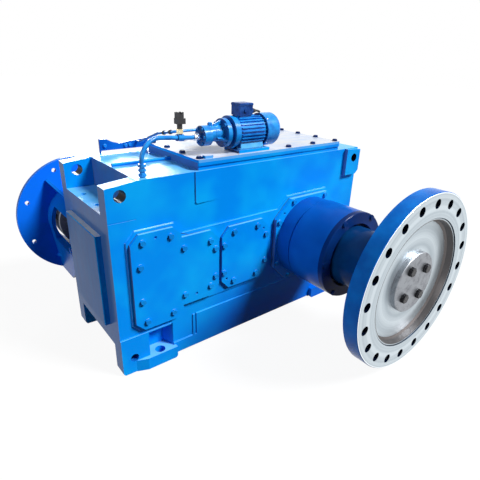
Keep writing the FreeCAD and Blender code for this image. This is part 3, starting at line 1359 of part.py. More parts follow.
def fan_cowl():
    """Domed cowl over the fan, with an air ring in its end."""
    x0 = STATOR_X1 + COWL_GAP
    x1 = COWL_X1
    w = COWL_WALL
    outer = [(COWL_R, x0), (COWL_R, x1 - 14), (COWL_R - 5, x1 - 4), (COWL_R - 14, x1)]
    inner = [(COWL_R - 14, x1 - w), (COWL_R - 5 - w, x1 - 6), (COWL_R - w, x1 - 15), (COWL_R - w, x0)]
    profile = outer + [(24, x1), (24, x1 - w)] + inner
    cowl = turned_x(PUMP_Y, PUMP_Z, profile)
    slots = []
    for k in range(10):
        slot = box(x1 - 8, x1 + 2, 32, 58, -4, 4)
        slot.rotate(vec(0, 0, 0), vec(1, 0, 0), 36.0 * k)
        slot.translate(vec(0, PUMP_Y, PUMP_Z))
        slots.append(slot)
    return cowl.cut(slots)


def motor_fan():
    """Fan with straight blades on the rear shaft end."""
    x0 = STATOR_X1 + COWL_GAP + FAN_FROM
    hub = ring_x(x0, x0 + FAN_W, PUMP_Y, PUMP_Z, 20, ROTOR_SHAFT_R - FAN_SEAT_STEP + SEAT_CLEAR)
    blades = []
    for k in range(FAN_BLADE_COUNT):
        blade = box(x0 + 2, x0 + FAN_W - 2, 18, FAN_R, -1.5, 1.5)
        blade.rotate(vec(0, 0, 0), vec(1, 0, 0), 360.0 * k / FAN_BLADE_COUNT)
        blade.translate(vec(0, PUMP_Y, PUMP_Z))
        blades.append(blade)
    return fuse_all([hub] + blades)


def motor_rotor():
    """Laminated rotor core on its shaft, from the pump coupling to the fan."""
    start = MOTOR_FLANGE_X - ROTOR_REACH
    step = STATOR_X1 + COWL_GAP + FAN_FROM - 1.5
    end = step + FAN_W + 4
    seat_r = ROTOR_SHAFT_R - FAN_SEAT_STEP
    profile = [(0, start), (ROTOR_SHAFT_R, start), (ROTOR_SHAFT_R, STATOR_X0 + 8), (ROTOR_R, STATOR_X0 + 8),
               (ROTOR_R, STATOR_X1 - 14), (ROTOR_SHAFT_R, STATOR_X1 - 14), (ROTOR_SHAFT_R, step),
               (seat_r, step), (seat_r, end), (0, end)]
    return turned_x(PUMP_Y, PUMP_Z, profile)


def terminal_box():
    """Terminal box on the motor saddle, open inside, with a plug and a cable gland."""
    x0 = TERMINAL_X0
    x1 = TERMINAL_X0 + TERMINAL_LENGTH
    front = PUMP_Y - TERMINAL_HALF
    rear = PUMP_Y + TERMINAL_HALF
    base = PUMP_Z + FIN_R
    w = TERMINAL_WALL
    outer = box(x0, x1, front, rear, base, base + TERMINAL_H)
    inner = box(x0 + w, x1 - w, front + w, rear - w, base + w, base + TERMINAL_H + 1)
    gland = cyl_x(x1 - 1, x1 + 18, PUMP_Y - 8, base + 16, GLAND_R)
    plug = cyl_y(x0 + 32, base + 22, GLAND_R, front - 5, front + 1)
    return fuse_all([outer.cut(inner), gland, plug])


def terminal_lid():
    """Lid with chamfered top edges, a little larger than the box."""
    x0 = TERMINAL_X0
    base = PUMP_Z + FIN_R + TERMINAL_H
    half = TERMINAL_HALF + 1.5
    lid = box(x0 - 1.5, x0 + TERMINAL_LENGTH + 1.5, PUMP_Y - half, PUMP_Y + half,
              base, base + TERMINAL_LID_T)
    edges = [e for e in lid.Edges if all(abs(v.Z - base - TERMINAL_LID_T) < 0.1 for v in e.Vertexes)]
    return lid.makeChamfer(3.0, edges)


def bell_housing():
    """Cast bell between pump and motor neck, with a flange and three ribs."""
    x0 = PUMP_BODY_X1
    x1 = BELL_FLANGE_X + BELL_FLANGE_T
    inner = BELL_R - BELL_WALL
    end_bore = PUMP_SHAFT_R + 4.0
    profile = [(end_bore, x0), (BELL_R - 2, x0), (BELL_R, x0 + 2), (BELL_R, BELL_FLANGE_X),
               (BELL_FLANGE_R, BELL_FLANGE_X), (BELL_FLANGE_R, x1), (inner, x1), (inner, x0 + 8),
               (end_bore, x0 + 8)]
    bell = turned_x(PUMP_Y, PUMP_Z, profile)
    foot = BELL_R - 3
    ribs = []
    for deg in BELL_RIB_DEG:
        points = [(x0 + 4, foot), (x0 + 4, BELL_R + 5), (BELL_FLANGE_X + 1, BELL_FLANGE_R - 5),
                  (BELL_FLANGE_X + 1, foot)]
        loop = [vec(x, -BELL_RIB_T / 2, z) for x, z in points]
        rib = Part.Face(Part.makePolygon(loop + [loop[0]])).extrude(vec(0, BELL_RIB_T, 0))
        rib.rotate(vec(0, 0, 0), vec(1, 0, 0), deg - 90.0)
        rib.translate(vec(0, PUMP_Y, PUMP_Z))
        ribs.append(rib)
    return fuse_all([bell] + ribs)


def bell_bolts():
    """Four nuts on the studs of the bell flange."""
    bolts = []
    for k in range(4):
        a = math.radians(45 + 90 * k)
        y = PUMP_Y + (BELL_FLANGE_R - SMALL_BOLT_IN) * math.cos(a)
        z = PUMP_Z + (BELL_FLANGE_R - SMALL_BOLT_IN) * math.sin(a)
        bolts.append(hex_head_x(BELL_FLANGE_X, y, z, -1, SMALL_BOLT_AF, SMALL_BOLT_HEAD + 3))
    return bolts


def pump_coupling():
    """Sleeve coupling between the pump shaft and the motor shaft."""
    x0 = PUMP_BODY_X1 + 10
    x1 = BELL_FLANGE_X + BELL_FLANGE_T - 5
    pump_end = PUMP_BODY_X1 + PUMP_SHAFT_OUT
    y, z = PUMP_Y, PUMP_Z
    sleeve = cyl_x(x0, x1, y, z, PUMP_COUPLING_R)
    pump_bore = cyl_x(x0 - 1, pump_end, y, z, PUMP_SHAFT_R + SEAT_CLEAR)
    motor_bore = cyl_x(MOTOR_FLANGE_X - ROTOR_REACH, x1 + 1, y, z, ROTOR_SHAFT_R + SEAT_CLEAR)
    return sleeve.cut([pump_bore, motor_bore])


def pump_gear(teeth, pitch_r, width, first_deg):
    """Small spur gear about the X axis, centred on the origin."""
    module = 2 * pitch_r / teeth
    root = pitch_r - 1.15 * module
    tip = pitch_r + 0.8 * module
    points = []
    for k in range(teeth):
        middle = math.radians(first_deg + 360.0 * k / teeth)
        for r, half_deg in ((root, 11.0), (tip, 4.5), (tip, -4.5), (root, -11.0)):
            a = middle - math.radians(half_deg)
            points.append((r * math.cos(a), r * math.sin(a)))
    return prism_x(points, -width / 2, width / 2)


def pump_gear_x():
    """Middle of the pump gears along X."""
    return PUMP_X0 + PUMP_COVER_T + 2.0 + PUMP_GEAR_W / 2


def drive_rotor():
    """Driven from the coupling: pump shaft with its gear."""
    gear = pump_gear(PUMP_GEAR_TEETH, PUMP_GEAR_R, PUMP_GEAR_W, 0.0)
    gear.translate(vec(pump_gear_x(), PUMP_Y, PUMP_Z))
    shaft = cyl_x(PUMP_X0 + PUMP_SHAFT_IN, PUMP_BODY_X1 + PUMP_SHAFT_OUT, PUMP_Y, PUMP_Z, PUMP_SHAFT_R)
    return fuse_all([gear, shaft])


def idler_rotor():
    """Idling pump gear on its short shaft."""
    gear = pump_gear(PUMP_GEAR_TEETH, PUMP_GEAR_R, PUMP_GEAR_W, 180.0 / PUMP_GEAR_TEETH)
    z = PUMP_Z - 2 * PUMP_GEAR_R
    gear.translate(vec(pump_gear_x(), PUMP_Y, z))
    end = pump_gear_x() + PUMP_GEAR_W / 2 + 8
    shaft = cyl_x(PUMP_X0 + PUMP_SHAFT_IN, end, PUMP_Y, z, PUMP_IDLER_R)
    return fuse_all([gear, shaft])


def pump_body():
    """Pump casing bored for its two gears, with a side port and a top boss."""
    x0 = PUMP_X0 + PUMP_COVER_T
    x1 = PUMP_BODY_X1
    disc = cyl_x(x0, PUMP_X0 + PUMP_DISC_T, PUMP_Y, PUMP_Z - PUMP_DISC_DROP, PUMP_R)
    neck = cyl_x(x0, x1, PUMP_Y, PUMP_Z, PUMP_NECK_R)
    low_z = PUMP_Z - 2 * PUMP_GEAR_R
    gx0 = pump_gear_x() - PUMP_GEAR_W / 2 - 0.3
    gx1 = pump_gear_x() + PUMP_GEAR_W / 2 + 0.3
    tip = PUMP_GEAR_R + 0.8 * 2 * PUMP_GEAR_R / PUMP_GEAR_TEETH + 0.3
    port_x = PUMP_X0 + SUCTION_PORT
    port_z = PUMP_Z + SUCTION_LIP
    side = PUMP_Y + PUMP_NECK_R
    port = cyl_y(port_x, port_z, SUCTION_PIPE_R + 4, side - 10, side + SUCTION_REACH)
    boss = cyl_z(port_x, PUMP_Y, PLUG_AF / 2 + 1, PUMP_Z + PUMP_NECK_R - 10, PUMP_Z + PUMP_NECK_R + 3)
    port_end = side + SUCTION_REACH
    cuts = [cyl_x(gx0, gx1, PUMP_Y, PUMP_Z, tip), cyl_x(gx0, gx1, PUMP_Y, low_z, tip),
            cyl_x(x0 - 1, x1 + 1, PUMP_Y, PUMP_Z, PUMP_SHAFT_R + SHIELD_CLEAR),
            cyl_x(x0 - 1, gx1 + 8, PUMP_Y, low_z, PUMP_IDLER_R + SHIELD_CLEAR),
            cyl_y(port_x, port_z, SUCTION_PIPE_R + SEAT_CLEAR, port_end - SUCTION_SEAT, port_end + 1)]
    return fuse_all([disc, neck, port, boss]).cut(cuts)


def pump_plug():
    """Hexagon plug on top of the pump."""
    top = PUMP_Z + PUMP_NECK_R + 3
    return hex_head_z(PUMP_X0 + SUCTION_PORT, PUMP_Y, top, PLUG_AF, PLUG_H)


def pump_cover():
    """Front cover of the pump."""
    x1 = PUMP_X0 + PUMP_COVER_T
    disc = cyl_x(PUMP_X0, x1, PUMP_Y, PUMP_Z - PUMP_DISC_DROP, PUMP_R)
    cuts = [cyl_x(x1 - 8, x1 + 1, PUMP_Y, PUMP_Z, PUMP_SHAFT_R + SHIELD_CLEAR),
            cyl_x(x1 - 8, x1 + 1, PUMP_Y, PUMP_Z - 2 * PUMP_GEAR_R, PUMP_IDLER_R + SHIELD_CLEAR)]
    return disc.cut(cuts)


def pump_cover_bolts():
    """Six small heads round the pump cover."""
    heads = []
    for k in range(6):
        a = math.radians(60 * k)
        y = PUMP_Y + (PUMP_R - SMALL_BOLT_IN) * math.cos(a)
        z = PUMP_Z - PUMP_DISC_DROP + (PUMP_R - SMALL_BOLT_IN) * math.sin(a)
        heads.append(hex_head_x(PUMP_X0, y, z, -1, SMALL_BOLT_AF - 2, SMALL_BOLT_HEAD))
    return heads


# Pipes

def bent_pipe(points, radius, bore_r, bend_r):
    """A round pipe along straight runs joined by tangent arcs."""
    edges = []
    start = points[0]
    for i in range(1, len(points) - 1):
        before = (points[i - 1] - points[i]).normalize()
        after = (points[i + 1] - points[i]).normalize()
        turn = math.pi - before.getAngle(after)
        reach = bend_r * math.tan(turn / 2)
        a = points[i] + before * reach
        b = points[i] + after * reach
        bisector = (before + after).normalize()
        centre = points[i] + bisector * (bend_r / math.cos(turn / 2))
        middle = centre - bisector * bend_r
        edges.append(Part.LineSegment(start, a).toShape())
        edges.append(Part.Arc(a, middle, b).toShape())
        start = b
    edges.append(Part.LineSegment(start, points[-1]).toShape())
    path = Part.Wire(edges)
    heading = (points[1] - points[0]).normalize()
    outer = Part.Wire(Part.makeCircle(radius, points[0], heading))
    inner = Part.Wire(Part.makeCircle(bore_r, points[0], heading))
    solid = path.makePipeShell([outer], True, False)
    core = path.makePipeShell([inner], True, False)
    return solid.cut(core)


def pipe_run():
    """Start of the straight run of the pressure pipe and its corner above the foot."""
    start = vec(PUMP_X0 - PIPE_END - PIPE_LEAD, PUMP_Y, PUMP_Z - PIPE_DROP)
    corner = vec(PIPE_FOOT_X, PIPE_FOOT_Y, PUMP_Z - PIPE_DROP + PIPE_RISE)
    return start, corner


def pressure_pipe():
    """From the pump union over the cover edge and down into the side plate."""
    start, corner = pipe_run()
    points = [
        vec(PUMP_X0 - PIPE_END, PUMP_Y, PUMP_Z - PIPE_DROP),
        start,
        corner,
        vec(PIPE_FOOT_X, PIPE_FOOT_Y, TOP_Z + FITTING_SEAT),
    ]
    return bent_pipe(points, PIPE_R, PIPE_BORE_R, PIPE_BEND_R)


def pipe_foot_fitting():
    """Screwed union that stands on the top edge of the side plate."""
    x, y = PIPE_FOOT_X, PIPE_FOOT_Y
    tube = cyl_z(x, y, PIPE_R + 2, TOP_Z, TOP_Z + FITTING_TOP)
    nuts = [hex_head_z(x, y, TOP_Z + up, PIPE_NUT_AF, height) for up, height in FITTING_NUTS]
    body = tube.fuse(nuts)
    return body.cut(cyl_z(x, y, PIPE_R + SEAT_CLEAR, TOP_Z + FITTING_SEAT, TOP_Z + FITTING_TOP + 1))


def pump_union():
    """Discharge union on the pump cover, with its nut."""
    z = PUMP_Z - PIPE_DROP
    seat = PUMP_X0 - PIPE_END
    body = cyl_x(seat - UNION_SLEEVE, PUMP_X0, PUMP_Y, z, PIPE_UNION_R)
    nut = hex_head_x(PUMP_X0 - 8, PUMP_Y, z, -1, PIPE_NUT_AF + 3, 14)
    return body.fuse(nut).cut(cyl_x(seat - UNION_SLEEVE - 1, seat, PUMP_Y, z, PIPE_R + SEAT_CLEAR))


def switch_tee():
    """Clamped boss on the pressure pipe that the switch screws into."""
    start, corner = pipe_run()
    way = (corner - start).normalize()
    middle = vec(SWITCH_X, SWITCH_Y, SWITCH_Z)
    sleeve = Part.makeCylinder(PIPE_R + TEE_WALL, TEE_LENGTH, middle - way * (TEE_LENGTH / 2), way)
    bore = Part.makeCylinder(PIPE_R + SEAT_CLEAR, TEE_LENGTH + 4, middle - way * (TEE_LENGTH / 2 + 2), way)
    boss = cyl_z(SWITCH_X, SWITCH_Y, 10, SWITCH_Z + PIPE_R, SWITCH_Z + PIPE_R + SWITCH_BOSS)
    return sleeve.fuse(boss).cut(bore)


def switch_hexagon():
    """Brass hexagon that the pressure switch is screwed in by."""
    base = SWITCH_Z + PIPE_R + SWITCH_BOSS
    return hex_head_z(SWITCH_X, SWITCH_Y, base, SWITCH_AF, SWITCH_HEX_H)


def switch_plug():
    """Black connector block of the pressure switch."""
    x, y = SWITCH_X, SWITCH_Y
    base = SWITCH_Z + PIPE_R + SWITCH_BOSS + SWITCH_HEX_H
    neck = cyl_z(x, y, 11, base, base + 21)
    head = box(x - 17, x + 20, y - 15, y + 15, base + 20, base + 42)
    cap = box(x - 15, x + 13, y - 13, y + 13, base + 41, base + 66)
    notch = box(x - 5, x + 4, y - 14, y + 14, base + 58, base + 67)
    return fuse_all([neck, head, cap.cut(notch)])


def suction_pipe():
    """From the pump's side port along the cover and down to the rear rail."""
    x = PUMP_X0 + SUCTION_PORT
    z = PUMP_Z + SUCTION_LIP
    port_end = PUMP_Y + PUMP_NECK_R + SUCTION_REACH
    y = port_end + SUCTION_BEND_R + 4
    rail = RAIL_Y - RAIL_T
    points = [
        vec(x, port_end - SUCTION_SEAT, z),
        vec(x, y, z),
        vec(SUCTION_TURN_X, y, z),
        vec(SUCTION_TURN_X, SUCTION_FALL_Y, z - SUCTION_FALL),
        vec(SUCTION_TURN_X, SUCTION_LOW_Y, SUCTION_END_Z),
        vec(SUCTION_TURN_X, rail, SUCTION_END_Z),
    ]
    return bent_pipe(points, SUCTION_PIPE_R, SUCTION_PIPE_R - SUCTION_WALL, SUCTION_BEND_R)


def pipe_rail():
    """Upright rail on the rear edge that the suction line passes through."""
    x0, x1 = RAIL_X0, RAIL_X1
    low = TOP_Z + RAIL_LOW
    points = [(x0, low), (x1, low), (x1, TOP_Z + RAIL_RIGHT_H)]
    points += [(x0 + dx, TOP_Z + dz) for dx, dz in RAIL_EDGE]
    band = prism_y(points, RAIL_Y - RAIL_T, RAIL_Y)
    legs = [box(x, x + 5, RAIL_Y - RAIL_T, RAIL_Y, TOP_Z, low + 1) for x in (x0, x1 - 22)]
    return fuse_all([band] + legs)


def rail_bolts():
    heads = []
    for dx, dz in RAIL_BOLT_SPOTS:
        heads.append(hex_head_y(RAIL_X0 + dx, TOP_Z + dz, RAIL_Y - RAIL_T, -1, SMALL_BOLT_AF + 3, 7))
    return heads


def sensor_line():
    """Thin tube along the top wall from the notch to the cover frame."""
    z = TOP_Z + SENSOR_LINE_R
    return cyl_x(NOTCH_X + 6, COVER_X0 + FRAME_INSET - SENSOR_BLOCK[0], SENSOR_LINE_Y, z, SENSOR_LINE_R)


def sensor_fitting():
    length, half, height = SENSOR_BLOCK
    x1 = COVER_X0 + FRAME_INSET
    return box(x1 - length, x1, SENSOR_LINE_Y - half, SENSOR_LINE_Y + half, TOP_Z, TOP_Z + height)


# Writing the nodes

def export_housing_group():
    export("housing", housing())
    export("input_end_cover", end_cover())
    export("inspection_cover", top_cover())
    export("front_keyhole_cover", left_cover(-1, 0))
    export("front_middle_cover", middle_cover(-1))
    export("output_cover", output_cover(-1, SLEEVE_BORE_R - COVER_BORE_IN))
    export("rear_keyhole_cover", left_cover(1, INPUT_SHAFT_D / 2 + INPUT_SEAL_WALL))
    export("rear_middle_cover", middle_cover(1))
    export("rear_output_cover", output_cover(1, 0))
    export("side_cover_bolts", *(cover_bolts(-1) + cover_bolts(1)))
    export("inspection_cover_bolts",
           *[hex_head_z(x, y, COVER_TOP_Z, TOP_BOLT_AF, TOP_BOLT_HEAD) for x, y in top_bolt_spots()])


def export_bearings():
    names = ("input", "second", "third", "output")
    outer_rings = []
    rollers = []
    for name, (x, bearing) in zip(names, shaft_seats()):
        export(name + "_bearing_inner_rings", *[bearing_inner(x, bearing, s) for s in (-1, 1)])
        for side in (-1, 1):
            outer_rings.append(bearing_outer(x, bearing, side))
            rollers += bearing_rollers(x, bearing, side)
    export("bearing_outer_rings", *outer_rings)
    export("bearing_rollers", *rollers)


def export_gear_train():
    third_seat = THIRD_BEARING[0] + THIRD_SEAT_STEP
    second_seat = SECOND_BEARING[0] + SECOND_SEAT_STEP
    export("input_pinion_shaft", input_shaft())
    export("second_pinion_shaft", intermediate_shaft(
        SECOND_X, SECOND_BEARING, second_seat, CENTRE_2, PINION_2_TEETH, WHEEL_2_TEETH, FACE_2, MID_2, -1))
    export("third_pinion_shaft", intermediate_shaft(
        THIRD_X, THIRD_BEARING, third_seat, CENTRE_3, PINION_3_TEETH, WHEEL_3_TEETH, FACE_3, MID_3, 1))
    export("output_shaft", output_shaft())
    export("first_stage_wheel", wheel(SECOND_X, MID_1, CENTRE_1, WHEEL_1_TEETH, PINION_1_TEETH, FACE_1, 1,
                                      second_seat / 2 + SEAT_CLEAR, WHEEL_1_WEB))
    export("second_stage_wheel", wheel(THIRD_X, MID_2, CENTRE_2, WHEEL_2_TEETH, PINION_2_TEETH, FACE_2, -1,
                                       third_seat / 2 + SEAT_CLEAR, WHEEL_2_WEB))
    output_seat = OUTPUT_BEARING[0] + OUTPUT_SEAT_STEP
    export("output_wheel", wheel(OUTPUT_X, MID_3, CENTRE_3, WHEEL_3_TEETH, PINION_3_TEETH, FACE_3, 1,
                                 output_seat / 2 + SEAT_CLEAR, WHEEL_3_WEB))
    inner = bearing_span(OUTPUT_BEARING)[0]
    export("output_spacer", spacer(OUTPUT_X, OUTPUT_BEARING[0], MID_3 + FACE_3 / 2, inner, SPACER_WALL))


def export_output_side():
    export("output_sleeve", output_sleeve())
    export("sleeve_end_ring", sleeve_end_ring())
    export("sleeve_end_bolts", *sleeve_bolts())
    start = -HALF_WIDTH - SLEEVE_END + SLEEVE_RING_T + SEAL_START + 2
    radius = OUTPUT_BEARING[0] / 2
    export("output_seal", shaft_seal(OUTPUT_X, radius, radius + SEAL_WALL, start, start + SEAL_ROOM - 6))
    export("output_flange", output_flange())
    export("output_end_plate", end_plate())
    export("end_plate_bolts", *end_plate_bolts())


def export_input_side():
    export("input_lantern", lantern())
    export("lantern_bolts", *lantern_bolts())
    radius = INPUT_SHAFT_D / 2
    export("input_seal", shaft_seal(INPUT_X, radius, radius + INPUT_SEAL_WALL, PAD_FACE, COVER_FACE - 2))
    export("coupling_hub", coupling_hub())
    export("coupling_buffers", *coupling_buffers())
    export("input_key", key_box(KEY_CLEAR))


def export_lubrication():
    export("motor_bracket", motor_bracket())
    export("lube_motor_body", motor_stator())
    export("lube_motor_end_shields", motor_end_shield(), motor_rear_shield())
    export("lube_motor_rotor", motor_rotor())
    export("lube_motor_fan", motor_fan())
    export("fan_cowl", fan_cowl())
    export("terminal_box", terminal_box())
    export("terminal_lid", terminal_lid())
    export("pump_bell_housing", bell_housing())
    export("lube_set_bolts", *(bell_bolts() + pump_cover_bolts() + rail_bolts() + [pump_plug()]))
    export("pump_coupling", pump_coupling())
    export("pump_drive_gear", drive_rotor())
    export("pump_idler_gear", idler_rotor())
    export("pump_body", pump_body())
    export("pump_cover", pump_cover())


def export_pipes():
    export("pressure_pipe", pressure_pipe())
    export("pipe_fittings", pipe_foot_fitting(), pump_union(), switch_tee())
    export("switch_hexagon", switch_hexagon())
    export("pressure_switch", switch_plug())
    export("suction_pipe", suction_pipe())
    export("pipe_rail", pipe_rail())
    export("sensor_line", sensor_line(), sensor_fitting())


os.makedirs("parts", exist_ok=True)
export_housing_group()
export_bearings()
export_gear_train()
export_output_side()
export_input_side()
export_lubrication()
export_pipes()
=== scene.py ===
"""Looks of a parallel-shaft helical gear unit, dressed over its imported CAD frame."""

import logging
import math
from dataclasses import dataclass, field
from enum import Enum
from typing import Optional, Sequence

import bmesh
import bpy
from mathutils import Matrix, Vector


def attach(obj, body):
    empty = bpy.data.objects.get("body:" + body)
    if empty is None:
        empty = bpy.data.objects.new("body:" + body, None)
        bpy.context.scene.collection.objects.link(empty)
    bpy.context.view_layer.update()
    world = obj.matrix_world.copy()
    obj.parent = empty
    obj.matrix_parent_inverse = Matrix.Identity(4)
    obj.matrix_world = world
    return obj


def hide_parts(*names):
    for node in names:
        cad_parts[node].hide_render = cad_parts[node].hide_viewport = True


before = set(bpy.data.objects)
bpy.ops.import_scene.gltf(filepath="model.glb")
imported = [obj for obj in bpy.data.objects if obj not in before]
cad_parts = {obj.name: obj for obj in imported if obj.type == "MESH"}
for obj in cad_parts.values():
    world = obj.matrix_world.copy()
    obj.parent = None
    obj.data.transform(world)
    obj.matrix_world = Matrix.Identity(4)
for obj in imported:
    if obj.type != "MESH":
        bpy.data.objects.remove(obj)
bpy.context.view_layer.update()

logging.basicConfig(level=logging.INFO, format="%(message)s")
LOG = logging.getLogger("gear_unit")

SHAFT_Z = 0.44
OUTPUT_X = 0.357
INPUT_X = -0.533
THIRD_X = -0.063
WALL_Y = 0.275
PAD_Y = 0.282
REAR_BOLTS_Y = 0.26
PUMP_Y = -0.195
PUMP_Z = 1.01
HOUSING = "housing_body"
HEAD_SHARP = 25.0
VALUE_SOCKET = "NodeSocketFloat"
COLOUR_SOCKET = "NodeSocketColor"
SOCKET_BY_LENGTH = {3: "NodeSocketVector", 4: COLOUR_SOCKET}
Colour = tuple[float, float, float, float]
Point = tuple[float, float, float]
Pair = tuple[float, float]
Socket = bpy.types.NodeSocket
Sockets = bpy.types.bpy_prop_collection


class Axis(Enum):
    """Directions that faces look in, and that turned and bolted pieces point in."""

    FRONT = (0.0, -1.0, 0.0)
    UP = (0.0, 0.0, 1.0)
    LEFT = (-1.0, 0.0, 0.0)
    RIGHT = (1.0, 0.0, 0.0)


class Effect(Enum):
    """Surface effects that several finishes share, each a node group."""

    PAINT_FILM = "paint_film"
    # painted light by face direction: glare on faces that look up, shade on faces that look left
    FACING_LIGHT = "facing_film"
    TURNED_RINGS = "turned_rings"
    HANDLING_MARKS = "handling_marks"


class Graph:
    """A short way to write the nodes of a material or of a group."""

    ACROSS_Y = (1.0, 0.0, 1.0)

    def __init__(self, tree: bpy.types.NodeTree) -> None:
        """Keeps the tree that the nodes go into."""
        self.tree = tree

    def add(self, kind: str, values: Optional[dict] = None, **settings: object) -> bpy.types.Node:
        """Adds a node.

        Args:
            kind: Blender's type name of the node.
            values: plain values or output sockets for its inputs, by input name or index.
            settings: properties of the node itself.

        Returns:
            The new node.
        """
        node = self.tree.nodes.new(kind)
        for key, value in settings.items():
            setattr(node, key, value)
        for key, value in (values or {}).items():
            if isinstance(value, Socket):
                self.tree.links.new(value, node.inputs[key])
            else:
                node.inputs[key].default_value = value
        return node

    def math(self, operation: str, *values: object) -> Socket:
        """Adds a Math node and returns its result."""
        return self.add("ShaderNodeMath", dict(enumerate(values)), operation=operation).outputs[0]

    def vector(self, operation: str, *values: object) -> Sockets:
        """Adds a Vector Math node and returns its outputs, Vector and Value."""
        return self.add("ShaderNodeVectorMath", dict(enumerate(values)), operation=operation).outputs

    def noise(self, place: Socket, scale: object, detail: float = 3.0, rough: float = 0.5) -> Socket:
        """Adds a Noise Texture in space and returns its value."""
        values = {"Vector": place, "Scale": scale, "Detail": detail, "Roughness": rough}
        return self.add("ShaderNodeTexNoise", values).outputs["Fac"]

    def line_noise(self, run: Socket, scale: float, detail: float) -> Socket:
        """Adds a Noise Texture along one number and returns its value."""
        values = {"W": run, "Scale": scale, "Detail": detail}
        return self.add("ShaderNodeTexNoise", values, noise_dimensions="1D").outputs["Fac"]

    def spread(self, value: Socket, limits: Pair, low: object = 0.0, high: float = 1.0) -> Socket:
        """Maps a value from its limits to the range from low to high, and keeps it inside that."""
        values = {0: value, 1: limits[0], 2: limits[1], 3: low, 4: high}
        return self.add("ShaderNodeMapRange", values).outputs[0]

    def within(self, value: Socket, limits: Pair) -> Socket:
        """One where a value lies between two limits, nought elsewhere."""
        above = self.math("GREATER_THAN", value, limits[0])
        return self.math("MULTIPLY", above, self.math("LESS_THAN", value, limits[1]))

    def blend(self, mask: Socket, low: object, high: object) -> Socket:
        """Mixes two colours by a mask and returns the colour."""
        return self.add("ShaderNodeMix", {0: mask, 6: low, 7: high}, data_type="RGBA").outputs[2]

    def bump(self, height: Socket, distance: float) -> Socket:
        """Adds a Bump node, where a height of 1 is a distance in metres, and returns the normal."""
        return self.add("ShaderNodeBump", {"Height": height, "Distance": distance}).outputs[0]

    def place(self) -> Socket:
        """The point on the piece, in its own coordinates."""
        return self.add("ShaderNodeTexCoord").outputs["Object"]

    def coordinate(self, name: str) -> Socket:
        """One coordinate of the point on the piece: X, Y or Z."""
        return self.add("ShaderNodeSeparateXYZ", {0: self.place()}).outputs[name]

    def off_axis(self, x: float, z: float) -> Socket:
        """Measures how far the point on the piece is from an axis along Y.

        Args:
            x: X of the axis.
            z: Z of the axis.

        Returns:
            The distance.
        """
        arm = self.vector("SUBTRACT", self.place(), (x, 0.0, z))["Vector"]
        flat = self.vector("MULTIPLY", arm, self.ACROSS_Y)["Vector"]
        return self.vector("LENGTH", flat)["Value"]


